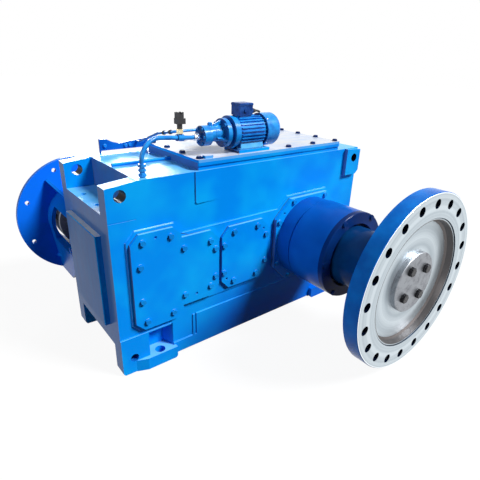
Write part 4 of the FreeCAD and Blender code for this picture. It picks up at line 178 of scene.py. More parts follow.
class EffectLibrary:
    """Builds each shared effect once, as a node group with named sockets."""

    BLUE = (0.0, 0.2, 0.7, 1.0)
    PATCH_LIMITS = (0.38, 0.66)
    PEEL_SIZE = 260.0
    PEEL_ROUGHNESS = 0.05
    PEEL_HEIGHT = 0.012
    FACING_LIMITS = (0.9, 0.99)
    STREAK_SHAPE = (1.0, 3.0, 1.0)
    STREAK_SIZE = 7.0
    STREAK_LIMITS = (0.36, 0.6)
    SMUDGE_LIMITS = (0.48, 0.72)
    SMUDGE_ROUGHNESS = 0.25

    def __init__(self) -> None:
        """Starts with no group built."""
        self.groups: dict[Effect, bpy.types.NodeTree] = {}

    def put(self, graph: Graph, effect: Effect, values: Optional[dict] = None) -> Sockets:
        """Adds an effect's group node to a material, and builds the group the first time.

        Args:
            graph: the material's graph.
            effect: the effect.
            values: plain values or output sockets for the group's inputs, by name.

        Returns:
            The group node's outputs.
        """
        if effect not in self.groups:
            builders = {
                Effect.PAINT_FILM: self._paint_film,
                Effect.FACING_LIGHT: self._painted_facing_light,
                Effect.TURNED_RINGS: self._turned_rings,
                Effect.HANDLING_MARKS: self._handling_marks,
            }
            self.groups[effect] = builders[effect]()
        return graph.add("ShaderNodeGroup", values, node_tree=self.groups[effect]).outputs

    @staticmethod
    def _new(effect: Effect, inputs: dict[str, object], outputs: Sequence[str]) -> tuple[Graph, Sockets]:
        """Starts a group.

        Args:
            effect: the effect, whose value is the group's name.
            inputs: default of each input: a number, a direction or a colour.
            outputs: names of the outputs. The one named Colour is a colour, any other a number.

        Returns:
            The graph, and the group's inputs as sockets to draw from.
        """
        tree = bpy.data.node_groups.new(effect.value, "ShaderNodeTree")
        for label, default in inputs.items():
            kind = VALUE_SOCKET if isinstance(default, float) else SOCKET_BY_LENGTH[len(default)]
            tree.interface.new_socket(label, in_out="INPUT", socket_type=kind).default_value = default
        for label in outputs:
            kind = COLOUR_SOCKET if label == "Colour" else VALUE_SOCKET
            tree.interface.new_socket(label, in_out="OUTPUT", socket_type=kind)
        graph = Graph(tree)
        return graph, graph.add("NodeGroupInput").outputs

    def _paint_film(self) -> bpy.types.NodeTree:
        """Sprayed enamel: slow waves of the plate, fine peel, thin and thick patches.

        Returns:
            The group.
        """
        inputs = {"Paint": self.BLUE, "Thin": self.BLUE, "Patch Size": 5.0, "Gloss": 0.18}
        graph, given = self._new(Effect.PAINT_FILM, inputs, ("Colour", "Roughness", "Height"))
        place = graph.place()
        patch = graph.noise(place, given["Patch Size"], detail=2.0)
        peel = graph.noise(place, self.PEEL_SIZE, detail=1.0)
        colour = graph.blend(graph.spread(patch, self.PATCH_LIMITS), given["Thin"], given["Paint"])
        rough = graph.math("ADD", given["Gloss"], graph.math("MULTIPLY", peel, self.PEEL_ROUGHNESS))
        height = graph.math("ADD", patch, graph.math("MULTIPLY", peel, self.PEEL_HEIGHT))
        graph.add("NodeGroupOutput", {"Colour": colour, "Roughness": rough, "Height": height})
        return graph.tree

    def _painted_facing_light(self) -> bpy.types.NodeTree:
        """Painted light and shade: another tone on the faces that look one way, broken by long streaks of
        painted reflection.

        Returns:
            The group.
        """
        inputs = {"Colour": self.BLUE, "FacingLight": self.BLUE, "Direction": Axis.UP.value,
                  "Amount": 1.0, "Evenness": 0.75}
        graph, given = self._new(Effect.FACING_LIGHT, inputs, ("Colour",))
        normal = graph.add("ShaderNodeNewGeometry").outputs["Normal"]
        facing = graph.vector("DOT_PRODUCT", normal, given["Direction"])["Value"]
        stretched = graph.vector("MULTIPLY", graph.place(), self.STREAK_SHAPE)["Vector"]
        streaks = graph.noise(stretched, self.STREAK_SIZE, detail=6.0)
        streaked = graph.spread(streaks, self.STREAK_LIMITS, given["Evenness"])
        share = graph.math("MULTIPLY", graph.spread(facing, self.FACING_LIMITS), streaked)
        mask = graph.math("MULTIPLY", share, given["Amount"])
        graph.add("NodeGroupOutput", {"Colour": graph.blend(mask, given["Colour"], given["FacingLight"])})
        return graph.tree

    def _turned_rings(self) -> bpy.types.NodeTree:
        """Tool rings round the output axis, for faces and barrels from the lathe.

        Returns:
            The group.
        """
        graph, given = self._new(Effect.TURNED_RINGS, {"Rings per Metre": 500.0}, ("Fine", "Broad", "Radius"))
        radius = graph.off_axis(OUTPUT_X, SHAFT_Z)
        reach = graph.math("ADD", radius, graph.coordinate("Y"))
        run = graph.math("MULTIPLY", reach, given["Rings per Metre"])
        fine = graph.line_noise(run, scale=1.0, detail=2.0)
        broad = graph.line_noise(run, scale=0.06, detail=3.0)
        graph.add("NodeGroupOutput", {"Fine": fine, "Broad": broad, "Radius": radius})
        return graph.tree

    def _handling_marks(self) -> bpy.types.NodeTree:
        """Smudges and faint scuffs left by handling, as a mask and a roughness shift.

        Returns:
            The group.
        """
        inputs = {"Smudge Size": 9.0, "Amount": 0.3}
        graph, given = self._new(Effect.HANDLING_MARKS, inputs, ("Mask", "Roughness"))
        smudge = graph.noise(graph.place(), given["Smudge Size"], detail=6.0, rough=0.7)
        mask = graph.math("MULTIPLY", graph.spread(smudge, self.SMUDGE_LIMITS), given["Amount"])
        rough = graph.math("MULTIPLY", mask, self.SMUDGE_ROUGHNESS)
        graph.add("NodeGroupOutput", {"Mask": mask, "Roughness": rough})
        return graph.tree


EFFECTS = EffectLibrary()


def blank_material(name: str) -> tuple[bpy.types.Material, Graph]:
    """Starts a material that has no node yet.

    Args:
        name: the material's name.

    Returns:
        The material and its graph.
    """
    material = bpy.data.materials.new(name)
    material.use_nodes = True
    material.node_tree.nodes.clear()
    return material, Graph(material.node_tree)


@dataclass(frozen=True)
class Finish:
    """What every finish has: a name, nodes of its own, and a Principled BSDF that they feed."""

    name: str

    def inputs(self, graph: Graph) -> dict:
        """Adds the finish's own nodes and returns the shader's inputs by name."""
        raise NotImplementedError

    def build(self) -> bpy.types.Material:
        """Builds the finish.

        Returns:
            The material.
        """
        material, graph = blank_material(self.name)
        shader = graph.add("ShaderNodeBsdfPrincipled", self.inputs(graph))
        graph.add("ShaderNodeOutputMaterial", {"Surface": shader.outputs[0]})
        return material


@dataclass(frozen=True)
class FacingLight:
    """Painted light: another tone on the faces that look one way, standing in for glare and sheen on faces
    that look up and front, and for shade on faces that look left.
    """

    facing: Axis
    tone: Colour
    amount: float

    def over(self, graph: Graph, colour: Socket) -> Socket:
        """Lays the painted light over a colour.

        Args:
            graph: the material's graph.
            colour: the colour under the painted light.

        Returns:
            The colour with the painted light on it.
        """
        evenness = 0.9 if self.facing is Axis.LEFT else 0.75
        return EFFECTS.put(graph, Effect.FACING_LIGHT, {
            "Colour": colour, "FacingLight": self.tone, "Direction": self.facing.value,
            "Amount": self.amount, "Evenness": evenness,
        })["Colour"]


@dataclass(frozen=True)
class ShadedBore:
    """A hole whose axis runs along Y, and the dark tone laid on its wall: painted shade, partly the dark of
    unpainted steel.
    """

    x: float
    z: float
    radius: float
    tone: Colour = (0.004, 0.012, 0.05, 1.0)


@dataclass(frozen=True)
class Enamel(Finish):
    """Machine enamel, with painted light and shade on faces that look one way, painted shade on the walls of
    given holes, and painted shade low on the wall, where they are asked for.
    """

    paint: Colour
    thin: Colour
    gloss: float = 0.2
    patch_size: float = 5.0
    wave: float = 0.0016
    specular: float = 0.08
    painted_lights: tuple[FacingLight, ...] = ()
    shaded_bores: tuple[ShadedBore, ...] = ()
    low_painted_shade: Optional[Colour] = None
    shade_z: Pair = (0.08, 0.42)
    shade_x: Pair = (-0.5, -0.12)

    def inputs(self, graph: Graph) -> dict:
        """Adds the enamel's nodes.

        Args:
            graph: the material's graph.

        Returns:
            The shader's inputs.
        """
        coat = EFFECTS.put(graph, Effect.PAINT_FILM, {
            "Paint": self.paint, "Thin": self.thin, "Patch Size": self.patch_size, "Gloss": self.gloss,
        })
        colour = coat["Colour"]
        # Painted light and shade on faces that look one way.
        for light_layer in self.painted_lights:
            colour = light_layer.over(graph, colour)
        # Painted shade: deeper blue towards the bottom and the output end, where the sleeve and flange cast
        # their shadow.
        if self.low_painted_shade:
            down = graph.spread(graph.coordinate("Z"), self.shade_z, 1.0, 0.0)
            along = graph.spread(graph.coordinate("X"), self.shade_x)
            colour = graph.blend(graph.math("MULTIPLY", down, along), colour, self.low_painted_shade)
        # Painted shade on the walls of given holes.
        for bore in self.shaded_bores:
            inside = graph.math("LESS_THAN", graph.off_axis(bore.x, bore.z), bore.radius)
            colour = graph.blend(inside, colour, bore.tone)
        return {"Base Color": colour, "Roughness": coat["Roughness"],
                "Specular IOR Level": self.specular, "Normal": graph.bump(coat["Height"], self.wave)}


@dataclass(frozen=True)
class LatheSteel(Finish):
    """Bright steel with tool rings round the output axis."""

    bright: Colour = (0.62, 0.63, 0.64, 1.0)
    dull: Colour = (0.38, 0.385, 0.4, 1.0)
    rings: float = 500.0
    roughness: float = 0.28
    roughness_swing: float = 0.06
    fine_share: float = 0.35
    tone_limits: Pair = (0.35, 0.62)
    rough_limits: Pair = (0.3, 0.7)
    ring_depth: float = 0.00006

    def surface(self, graph: Graph) -> tuple[Sockets, Socket, Socket]:
        """Adds the turned surface's nodes.

        Args:
            graph: the material's graph.

        Returns:
            The rings' outputs, the colour and the roughness.
        """
        rings = EFFECTS.put(graph, Effect.TURNED_RINGS, {"Rings per Metre": self.rings})
        marks = EFFECTS.put(graph, Effect.HANDLING_MARKS)
        fine = graph.math("MULTIPLY", rings["Fine"], self.fine_share)
        share = graph.math("ADD", fine, graph.math("MULTIPLY", rings["Broad"], 1.0 - self.fine_share))
        colour = graph.blend(graph.spread(share, self.tone_limits), self.dull, self.bright)
        rough = graph.spread(share, self.rough_limits, self.roughness - self.roughness_swing,
                             self.roughness + self.roughness_swing)
        return rings, colour, graph.math("ADD", rough, marks["Roughness"])

    def inputs(self, graph: Graph) -> dict:
        """Adds the steel's nodes.

        Args:
            graph: the material's graph.

        Returns:
            The shader's inputs.
        """
        rings, colour, rough = self.surface(graph)
        return {"Base Color": colour, "Roughness": rough, "Metallic": 1.0,
                "Normal": graph.bump(rings["Fine"], self.ring_depth)}


@dataclass(frozen=True)
class PaintedFlange(Finish):
    """Flange painted all over but for its bright mating face and recess, with a painted highlight round the
    face's edge and painted shade in its groove, on its recess wall, in its bolt holes and on its hub.
    """

    steel: LatheSteel
    paint: Colour
    thin: Colour
    # The edge colour is a painted highlight; the groove, wall and shade colours are painted shade.
    edge: Colour = (0.9, 0.96, 1.0, 1.0)
    groove: Colour = (0.05, 0.07, 0.1, 1.0)
    wall: Colour = (0.13, 0.12, 0.12, 1.0)
    shade: Colour = (0.002, 0.006, 0.02, 1.0)
    edge_r: float = 0.4035
    groove_r: Pair = (0.2965, 0.3005)
    wall_r: Pair = (0.276, 0.2925)
    face_y: float = -0.9644
    recess_r: float = 0.302
    recess_y: float = -0.91
    hole_r: Pair = (0.3405, 0.3845)
    hole_y: float = -0.8945
    hub_r: float = 0.2
    hub_shade: float = 0.75
    patch_size: float = 14.0
    specular: float = 0.05
    ring_depth: float = 0.00005

    def inputs(self, graph: Graph) -> dict:
        """Adds the flange's nodes.

        Args:
            graph: the material's graph.

        Returns:
            The shader's inputs.
        """
        rings, steel, steel_rough = self.steel.surface(graph)
        radius, along = rings["Radius"], graph.coordinate("Y")
        # Painted highlight round the edge, painted shade in the groove and on the recess wall.
        steel = graph.blend(graph.math("GREATER_THAN", radius, self.edge_r), steel, self.edge)
        steel = graph.blend(graph.within(radius, self.groove_r), steel, self.groove)
        steel = graph.blend(graph.within(radius, self.wall_r), steel, self.wall)
        coat = EFFECTS.put(graph, Effect.PAINT_FILM,
                           {"Paint": self.paint, "Thin": self.thin, "Patch Size": self.patch_size})
        # Painted shade in the bolt holes and on the hub.
        holes = graph.math("MULTIPLY", graph.within(radius, self.hole_r),
                           graph.math("LESS_THAN", along, self.hole_y))
        hub = graph.math("MULTIPLY", graph.math("LESS_THAN", radius, self.hub_r), self.hub_shade)
        paint = graph.blend(graph.math("MAXIMUM", holes, hub), coat["Colour"], self.shade)
        recess = graph.math("MULTIPLY", graph.math("LESS_THAN", radius, self.recess_r),
                            graph.math("LESS_THAN", along, self.recess_y))
        bare = graph.math("MAXIMUM", graph.math("LESS_THAN", along, self.face_y), recess)
        coated = graph.math("SUBTRACT", 1.0, bare)
        rough = graph.math("ADD", graph.math("MULTIPLY", steel_rough, bare),
                           graph.math("MULTIPLY", coat["Roughness"], coated))
        return {"Base Color": graph.blend(bare, paint, steel), "Roughness": rough, "Metallic": bare,
                "Specular IOR Level": self.specular, "Normal": graph.bump(rings["Fine"], self.ring_depth)}


@dataclass(frozen=True)
class PlainMetal(Finish):
    """Cast, plated, blackened or brass metal with smudges."""

    colour: Colour
    worn: Colour
    roughness: float = 0.35
    metallic: float = 1.0
    smudge_size: float = 30.0
    grain: float = 700.0
    grain_depth: float = 0.0001

    def inputs(self, graph: Graph) -> dict:
        """Adds the metal's nodes.

        Args:
            graph: the material's graph.

        Returns:
            The shader's inputs.
        """
        marks = EFFECTS.put(graph, Effect.HANDLING_MARKS, {"Smudge Size": self.smudge_size, "Amount": 1.0})
        grain = graph.noise(graph.place(), self.grain)
        return {"Base Color": graph.blend(marks["Mask"], self.colour, self.worn),
                "Roughness": graph.math("ADD", marks["Roughness"], self.roughness),
                "Metallic": self.metallic, "Normal": graph.bump(grain, self.grain_depth)}


@dataclass(frozen=True)
class SoftPlastic(Finish):
    """Black moulded plastic or rubber with a fine spark texture."""

    colour: Colour
    roughness: float = 0.5
    roughness_rise: float = 0.15
    grain: float = 900.0
    grain_depth: float = 0.00008
    tone_limits: Pair = (0.4, 0.7)
    rough_limits: Pair = (0.3, 0.7)
    peak_gain: float = 1.6
    peak_lift: float = 0.01

    def inputs(self, graph: Graph) -> dict:
        """Adds the plastic's nodes.

        Args:
            graph: the material's graph.

        Returns:
            The shader's inputs.
        """
        grain = graph.noise(graph.place(), self.grain)
        lighter = tuple(min(1.0, c * self.peak_gain + self.peak_lift) for c in self.colour[:3]) + (1.0,)
        rough = graph.spread(grain, self.rough_limits, self.roughness, self.roughness + self.roughness_rise)
        return {"Base Color": graph.blend(graph.spread(grain, self.tone_limits), self.colour, lighter),
                "Roughness": rough, "Normal": graph.bump(grain, self.grain_depth)}


class Finishes:
    """Every finish of the unit, built once."""

    def __init__(self) -> None:
        """Builds the materials."""
        azure, thin = (0.003, 0.37, 0.9, 1), (0.001, 0.26, 0.86, 1)
        up, left, front = Axis.UP, Axis.LEFT, Axis.FRONT
        # Painted shade on the walls of the lift holes and the jacking hole.
        shaded_lug_bores = (ShadedBore(-0.664, 0.826, 0.0252), ShadedBore(0.699, 0.826, 0.0222),
                ShadedBore(-0.664, 0.08, 0.0192, (0.004, 0.12, 0.5, 1)))
        # Painted glare on faces that look up, painted shade on faces that look left, and painted shade low on
        # the front wall towards the output end.
        self.housing = Enamel(
            "azure_enamel", azure, thin, specular=0.04, shaded_bores=shaded_lug_bores, low_painted_shade=(0.001, 0.13, 0.66, 1),
            painted_lights=(FacingLight(up, (0.22, 0.6, 0.88, 1), 0.6), FacingLight(left, (0.06, 0.15, 0.42, 1), 0.95))).build()
        # Painted reflection: near-white glare on faces that look up; painted sheen: lighter blue on faces
        # that look front.
        self.top = Enamel(
            "azure_top_enamel", azure, thin,
            painted_lights=(FacingLight(up, (0.6, 0.61, 0.62, 1), 0.97), FacingLight(front, (0.2, 0.52, 0.85, 1), 0.6))).build()
        # The end cover's azure, made grey-blue by painted shade on faces that look left, with a painted
        # highlight on faces that look up.
        self.shaded_end_cover = Enamel(
            "shaded_end_cover_enamel", azure, thin, specular=0.02,
            painted_lights=(FacingLight(up, (0.85, 0.88, 0.9, 1), 1.0), FacingLight(left, (0.05, 0.15, 0.42, 1), 0.98))).build()
        # Painted highlight: a pale tone on the beads' upper sides.
        self.bead = Enamel("bead_enamel", azure, thin, specular=0.3,
                           painted_lights=(FacingLight(up, (0.5, 0.8, 0.92, 1), 1.0),)).build()
        # A darker copy of the azure, painted shade for the housing's shadow on the lantern, with a brighter
        # blue painted light on faces that look front.
        self.lantern_shaded = Enamel("lantern_shaded_azure_enamel", (0.003, 0.17, 0.7, 1), (0.002, 0.12, 0.58, 1),
                           specular=0.02, painted_lights=(FacingLight(front, (0.004, 0.17, 0.95, 1), 0.9),)).build()
        self.box = Enamel("box_enamel", (0.02, 0.09, 0.34, 1), (0.006, 0.04, 0.2, 1), patch_size=40.0,
                          wave=0.0002, specular=0.1).build()
        # Painted shade: a dark tone on faces that look left.
        self.motor = Enamel("motor_enamel", (0.012, 0.3, 0.8, 1), (0.004, 0.18, 0.6, 1), patch_size=30.0,
                            wave=0.0002, specular=0.3,
                            painted_lights=(FacingLight(left, (0.008, 0.06, 0.24, 1), 0.95),)).build()
        # Painted highlight: a pale tone on faces that look up.
        self.foot = Enamel("foot_enamel", (0.1, 0.45, 0.85, 1), (0.05, 0.36, 0.8, 1), patch_size=30.0,
                           wave=0.0002, specular=0.4, painted_lights=(FacingLight(up, (0.7, 0.8, 0.88, 1), 0.9),)).build()
        # A darker copy of the azure: painted shade for the output sleeve and the pipe rail.
        self.shaded_azure = Enamel("shaded_azure_enamel", (0.004, 0.12, 0.52, 1), (0.002, 0.08, 0.4, 1), wave=0.0004,
                            specular=0.04).build()
        # Dark blue, the own paint of the inspection cover bolts, and painted shade on the sleeve's end ring
        # and bolts, which lie in the flange's shadow.
        self.navy_and_shade = Enamel("navy_and_shade_enamel", (0.003, 0.035, 0.18, 1), (0.002, 0.02, 0.11, 1), wave=0.0002,
                           specular=0.05).build()
        # Painted highlight on faces that look up, painted shade on faces that look left.
        self.bolt = Enamel(
            "bolt_enamel", (0.004, 0.27, 0.74, 1), (0.003, 0.2, 0.62, 1), wave=0.0002, specular=0.05,
            painted_lights=(FacingLight(up, (0.75, 0.85, 0.92, 1), 0.9), FacingLight(left, (0.01, 0.04, 0.16, 1), 1.0))).build()
        face = LatheSteel("face", (0.63, 0.7, 0.745, 1), (0.43, 0.5, 0.55, 1), roughness=0.42)
        self.flange = PaintedFlange("painted_flange_steel", face, (0.004, 0.17, 0.62, 1),
                                    (0.003, 0.12, 0.5, 1)).build()
        self.shaft = LatheSteel("turned_shaft_steel", rings=900.0).build()
        self.plate = PlainMetal("end_plate_steel", (0.33, 0.35, 0.38, 1), (0.16, 0.16, 0.18, 1), 0.42,
                                smudge_size=24.0).build()
        self.gear = PlainMetal("oiled_gear_steel", (0.4, 0.41, 0.43, 1), (0.25, 0.24, 0.22, 1),
                               0.25).build()
        self.zinc = PlainMetal("plated_steel", (0.8, 0.81, 0.82, 1), (0.6, 0.6, 0.6, 1), 0.22).build()
        self.black = PlainMetal("blackened_steel", (0.012, 0.012, 0.015, 1), (0.08, 0.08, 0.09, 1), 0.25,
                                metallic=0.6, smudge_size=60.0).build()
        self.iron = PlainMetal("machined_iron", (0.2, 0.22, 0.26, 1), (0.08, 0.08, 0.09, 1), 0.4).build()
        self.brass = PlainMetal("turned_brass", (0.86, 0.72, 0.42, 1), (0.6, 0.48, 0.25, 1), 0.25).build()
        self.plastic = SoftPlastic("black_plastic", (0.012, 0.012, 0.014, 1)).build()
        self.rubber = SoftPlastic("seal_rubber", (0.02, 0.02, 0.02, 1), 0.65).build()


def dress(finish: bpy.types.Material, *names: str) -> None:
    """Gives CAD nodes a finish.

    Args:
        finish: the material.
        names: the nodes.
    """
    for name in names:
        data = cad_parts[name].data
        data.materials.clear()
        data.materials.append(finish)


def turn_to(direction: Vector) -> Matrix:
    """A rotation that takes +Z to a direction."""
    return direction.to_track_quat("Z", "Y").to_matrix().to_4x4()


def spot(point: Point, axis: Axis = Axis.UP) -> Matrix:
    """A place whose Z axis points in one of the named directions."""
    return Matrix.Translation(Vector(point)) @ turn_to(Vector(axis.value))


def round_turn(count: int, start: float = 0.0) -> list[float]:
    """Angles in radians that share out a full turn, from a start in degrees."""
    return [math.radians(start) + 2 * math.pi * k / count for k in range(count)]


def drawn_in(outline: Sequence[Pair], inset: float) -> list[Pair]:
    """Moves every side of a counter-clockwise outline inwards.

    Args:
        outline: the corners.
        inset: how far each side moves; negative moves it outwards.

    Returns:
        The new corners.
    """
    mitre_limit = 0.3
    result = []
    count = len(outline)
    for k, here in enumerate(outline):
        point = Vector(here)
        ahead = (Vector(outline[(k + 1) % count]) - point).normalized()
        behind = (point - Vector(outline[k - 1])).normalized()
        side = Vector((-ahead.y - behind.y, ahead.x + behind.x)).normalized()
        reach = inset / max(mitre_limit, side.dot(Vector((-ahead.y, ahead.x))))
        result.append(tuple(point + side * reach))
    return result


def octagon(centre: Pair, half: Pair, chamfer: Pair) -> list[Pair]:
    """Corners of a rectangle with cut corners.

    Args:
        centre: its middle.
        half: half its width and height.
        chamfer: how much each cut takes off along and up.

    Returns:
        Eight corners, counter-clockwise.
    """
    (cx, cz), (hx, hz), (kx, kz) = centre, half, chamfer
    corners = [(hx, hz - kz), (hx - kx, hz), (kx - hx, hz), (-hx, hz - kz),
               (-hx, kz - hz), (kx - hx, -hz), (hx - kx, -hz), (hx, kz - hz)]
    return [(cx + x, cz + z) for x, z in corners]


class Shape:
    """A mesh being built, in metres on the unit's own axes."""

    HEAD_SIDES = 24
    COLLAR = 0.98
    COLLAR_HEIGHT = 0.08
    WASHER_HEIGHT = 0.16
    LEDGE = 0.001
    CORNER_CUT = 0.96
    CROWN = 0.88
    DISH_DEPTH = 0.93
    DISH = 0.78
    SCREW_PROFILE = ((0.0, 1.0), (0.55, 1.0), (0.9, 0.8), (1.0, 0.4))
    CROSS_ARM = 0.52
    CROSS_HALF = 0.11
    CROSS_FOOT = 0.99
    CROSS_RISE = 0.0002

    def __init__(self) -> None:
        """Starts empty."""
        self.grid = bmesh.new()

    def loft(self, rings: Sequence[Sequence[Vector]], closed: bool = False) -> None:
        """Skins rings of points one after the other.

        Args:
            rings: the rings, each with the same number of points.
            closed: joins the last ring to the first instead of closing both ends flat.
        """
        rows = [[self.grid.verts.new(point) for point in ring] for ring in rings]
        pairs = list(zip(rows, rows[1:]))
        if closed:
            pairs.append((rows[-1], rows[0]))
        count = len(rows[0])
        for low, high in pairs:
            for k in range(count):
                self.grid.faces.new((low[k], low[(k + 1) % count], high[(k + 1) % count], high[k]))
        if not closed:
            self.grid.faces.new(list(reversed(rows[0])))
            self.grid.faces.new(rows[-1])

    def turned(self, place: Matrix, profile: Sequence[Pair], sides: int, closed: bool = False) -> None:
        """Turns a profile round a place's Z axis.

        Args:
            place: the axis and its foot.
            profile: height and radius of each ring.
            sides: how many sides the turned piece has.
            closed: whether the profile closes on itself, as in a ring.
        """
        self.loft([[place @ Vector((r * math.cos(a), r * math.sin(a), h)) for a in round_turn(sides)]
                   for h, r in profile], closed)

    def prism(self, place: Matrix, outline: Sequence[Pair], levels: Sequence[Pair]) -> None:
        """Raises a counter-clockwise outline through levels.

        Args:
            place: where the outline lies, with Z along its height.
            outline: the corners.
            levels: height and inset of each level.
        """
        self.loft([[place @ Vector((x, y, height)) for x, y in drawn_in(outline, inset)]
                   for height, inset in levels])

    def block(self, low: Point, high: Point, edge: float) -> None:
        """Adds a block with eased edges between two corners.

        Args:
            low: its lowest corner.
            high: its highest corner.
            edge: how much the easing takes off.
        """
        middle = (Vector(low) + Vector(high)) / 2
        hx, hy, hz = (Vector(high) - Vector(low)) / 2
        e = min(edge, hx / 2, hy / 2, hz / 2)
        outline = octagon((0.0, 0.0), (hx, hy), (e, e))
        self.prism(Matrix.Translation(middle), outline, ((-hz, e), (e - hz, 0.0), (hz - e, 0.0), (hz, e)))

    def band(self, outline: Sequence[Point], width: float, height: float, out: Vector) -> None:
        """Adds a closed flat strip that follows an outline.

        Args:
            outline: the corners it runs through.
            width: how far it stands out of the outline, in its plane.
            height: how thick it is along its outward direction.
            out: the direction that it is thick in.
        """
        centre = sum((Vector(p) for p in outline), Vector()) / len(outline)
        rings = []
        for point in outline:
            base = Vector(point)
            away = (base - centre).normalized() * width
            lift = out * height
            rings.append([base, base + away, base + away + lift, base + lift])
        self.loft(rings, closed=True)

    def tube(self, path: Sequence[Vector], radius: float, sides: int, swell: float = 0.0) -> None:
        """Adds a round bar along a path.

        Args:
            path: the points that its middle runs through.
            radius: its radius.
            sides: how many sides it has.
            swell: share by which every second ring is thinner, as in a weld bead.
        """
        rings = []
        up = None
        for k, point in enumerate(path):
            ahead = path[min(k + 1, len(path) - 1)] - path[max(k - 1, 0)]
            ahead.normalize()
            if up is None:
                up = ahead.orthogonal()
            up = (up - ahead * up.dot(ahead)).normalized()
            side = ahead.cross(up)
            size = radius * (1.0 - swell * (k % 2))
            rings.append([point + (up * math.cos(a) + side * math.sin(a)) * size for a in round_turn(sides)])
        self.loft(rings)

    def hexagon(self, place: Matrix, across: float, height: float, chamfer: float = 0.14,
                washer: float = 0.0) -> None:
        """Adds a hexagon head or nut with chamfered corners.

        Args:
            place: foot centre, with Z outwards.
            across: width over the flats.
            height: height of the head.
            chamfer: share of the height that the crown's chamfer takes.
            washer: radius of a washer under it, as a share of half the width; nought leaves it out.
        """
        flat = across / 2
        corner = flat / math.cos(math.pi / 6)
        step = math.pi / 3

        def around(angle: float) -> float:
            """Distance from the axis to the hexagon at an angle."""
            return flat / math.cos((angle + step / 2) % step - step / 2)

        collar = max(washer, self.COLLAR) * flat
        foot = self.WASHER_HEIGHT if washer else self.COLLAR_HEIGHT
        levels = ((0.0, lambda a: collar), (foot, lambda a: collar), (foot + self.LEDGE, around),
                  (1 - chamfer, lambda a: min(around(a), corner * self.CORNER_CUT)),
                  (1.0, lambda a: flat * self.CROWN), (self.DISH_DEPTH, lambda a: flat * self.DISH))
        self.loft([[place @ Vector((size(a) * math.cos(a), size(a) * math.sin(a), share * height))
                    for a in round_turn(self.HEAD_SIDES)] for share, size in levels])

    def screw(self, place: Matrix, radius: float, height: float) -> None:
        """Adds a round screw head with a thin raised cross for its drive.

        Args:
            place: foot centre, with Z outwards.
            radius: radius of the head.
            height: height of the head.
        """
        self.turned(place, [(height * up, radius * out) for up, out in self.SCREW_PROFILE], sides=20)
        arm, half = radius * self.CROSS_ARM, radius * self.CROSS_HALF
        foot = Matrix.Translation((0, 0, height * self.CROSS_FOOT))
        for turn in (0.0, math.pi / 2):
            self.prism(place @ foot @ Matrix.Rotation(turn, 4, "Z"),
                       [(-arm, -half), (arm, -half), (arm, half), (-arm, half)],
                       ((0.0, 0.0), (self.CROSS_RISE, 0.0)))

    def finish(self, name: str, material: bpy.types.Material, slot: str, body: str = HOUSING,
               sharp: float = 38.0) -> bpy.types.Object:
        """Turns the shape into a riding piece.

        Args:
            name: the piece's name.
            material: its finish.
            slot: the record's material slot; not used.
            body: the CAD body that it rides on.
            sharp: edges steeper than this many degrees stay crisp.

        Returns:
            The object, linked into the scene.
        """
        bmesh.ops.recalc_face_normals(self.grid, faces=self.grid.faces)
        mesh = bpy.data.meshes.new(name)
        self.grid.to_mesh(mesh)
        self.grid.free()
        for polygon in mesh.polygons:
            polygon.use_smooth = True
        mesh.set_sharp_from_angle(angle=math.radians(sharp))
        mesh.materials.append(material)
        piece = bpy.data.objects.new(name, mesh)
        bpy.context.scene.collection.objects.link(piece)
        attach(piece, body)
        LOG.info("%s: %d faces", name, len(mesh.polygons))
        return piece


@dataclass
class HexBolts:
    """Chamfered hexagon heads, one for each plain head of a CAD node, or one at each given spot."""

    node: str
    material: bpy.types.Material
    slot: str
    body: str = HOUSING
    washer: float = 1.2
    stands_for: bool = True
    spots: list[tuple[Vector, Vector, float, float]] = field(default_factory=list)

    def find_heads(self) -> None:
        """Reads each head's foot, direction, width and height from the node's loose solids."""
        grid = bmesh.new()
        grid.from_mesh(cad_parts[self.node].data)
        bmesh.ops.remove_doubles(grid, verts=grid.verts, dist=1e-6)
        seen = set()
        for vert in grid.verts:
            if vert not in seen:
                island = self._island(vert, seen)
                low = Vector(min(v.co[i] for v in island) for i in range(3))
                high = Vector(max(v.co[i] for v in island) for i in range(3))
                self.spots.append(self._read(low, high))
        grid.free()

    @staticmethod
    def _island(start: bmesh.types.BMVert, seen: set) -> list:
        """Collects the vertices that are connected to one, and marks them as seen.

        Args:
            start: the vertex to start from.
            seen: the vertices that a group has already.

        Returns:
            The group.
        """
        seen.add(start)
        island, queue = [start], [start]
        while queue:
            for edge in queue.pop().link_edges:
                for vert in edge.verts:
                    if vert not in seen:
                        seen.add(vert)
                        island.append(vert)
                        queue.append(vert)
        return island

    @staticmethod
    def _read(low: Vector, high: Vector) -> tuple[Vector, Vector, float, float]:
        """Works out the place and size of one head.

        Args:
            low: lowest corner of the head.
            high: highest corner of the head.

        Returns:
            Foot centre, unit direction, width over flats and height.
        """
        size = high - low
        axis = min(range(3), key=lambda i: size[i])
        centre = (low + high) / 2
        direction = Vector((0.0, 0.0, 0.0))
        direction[axis] = 1.0 if axis == 2 or (axis == 1 and centre.y > REAR_BOLTS_Y) else -1.0
        foot = centre - direction * size[axis] / 2
        return foot, direction, min(size[i] for i in range(3) if i != axis), size[axis]

    def build(self) -> bpy.types.Object:
        """Builds all the heads as one piece.

        Returns:
            The piece. It stands for the node, unless the node's own solids stay in sight.
        """
        if not self.spots:
            self.find_heads()
        shape = Shape()
        for foot, direction, across, height in self.spots:
            place = Matrix.Translation(foot) @ turn_to(direction)
            shape.hexagon(place, across, height, washer=self.washer)
        piece = shape.finish(self.node + "_heads", self.material, self.slot, self.body, sharp=HEAD_SHARP)
        if self.stands_for:
            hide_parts(self.node)
        return piece


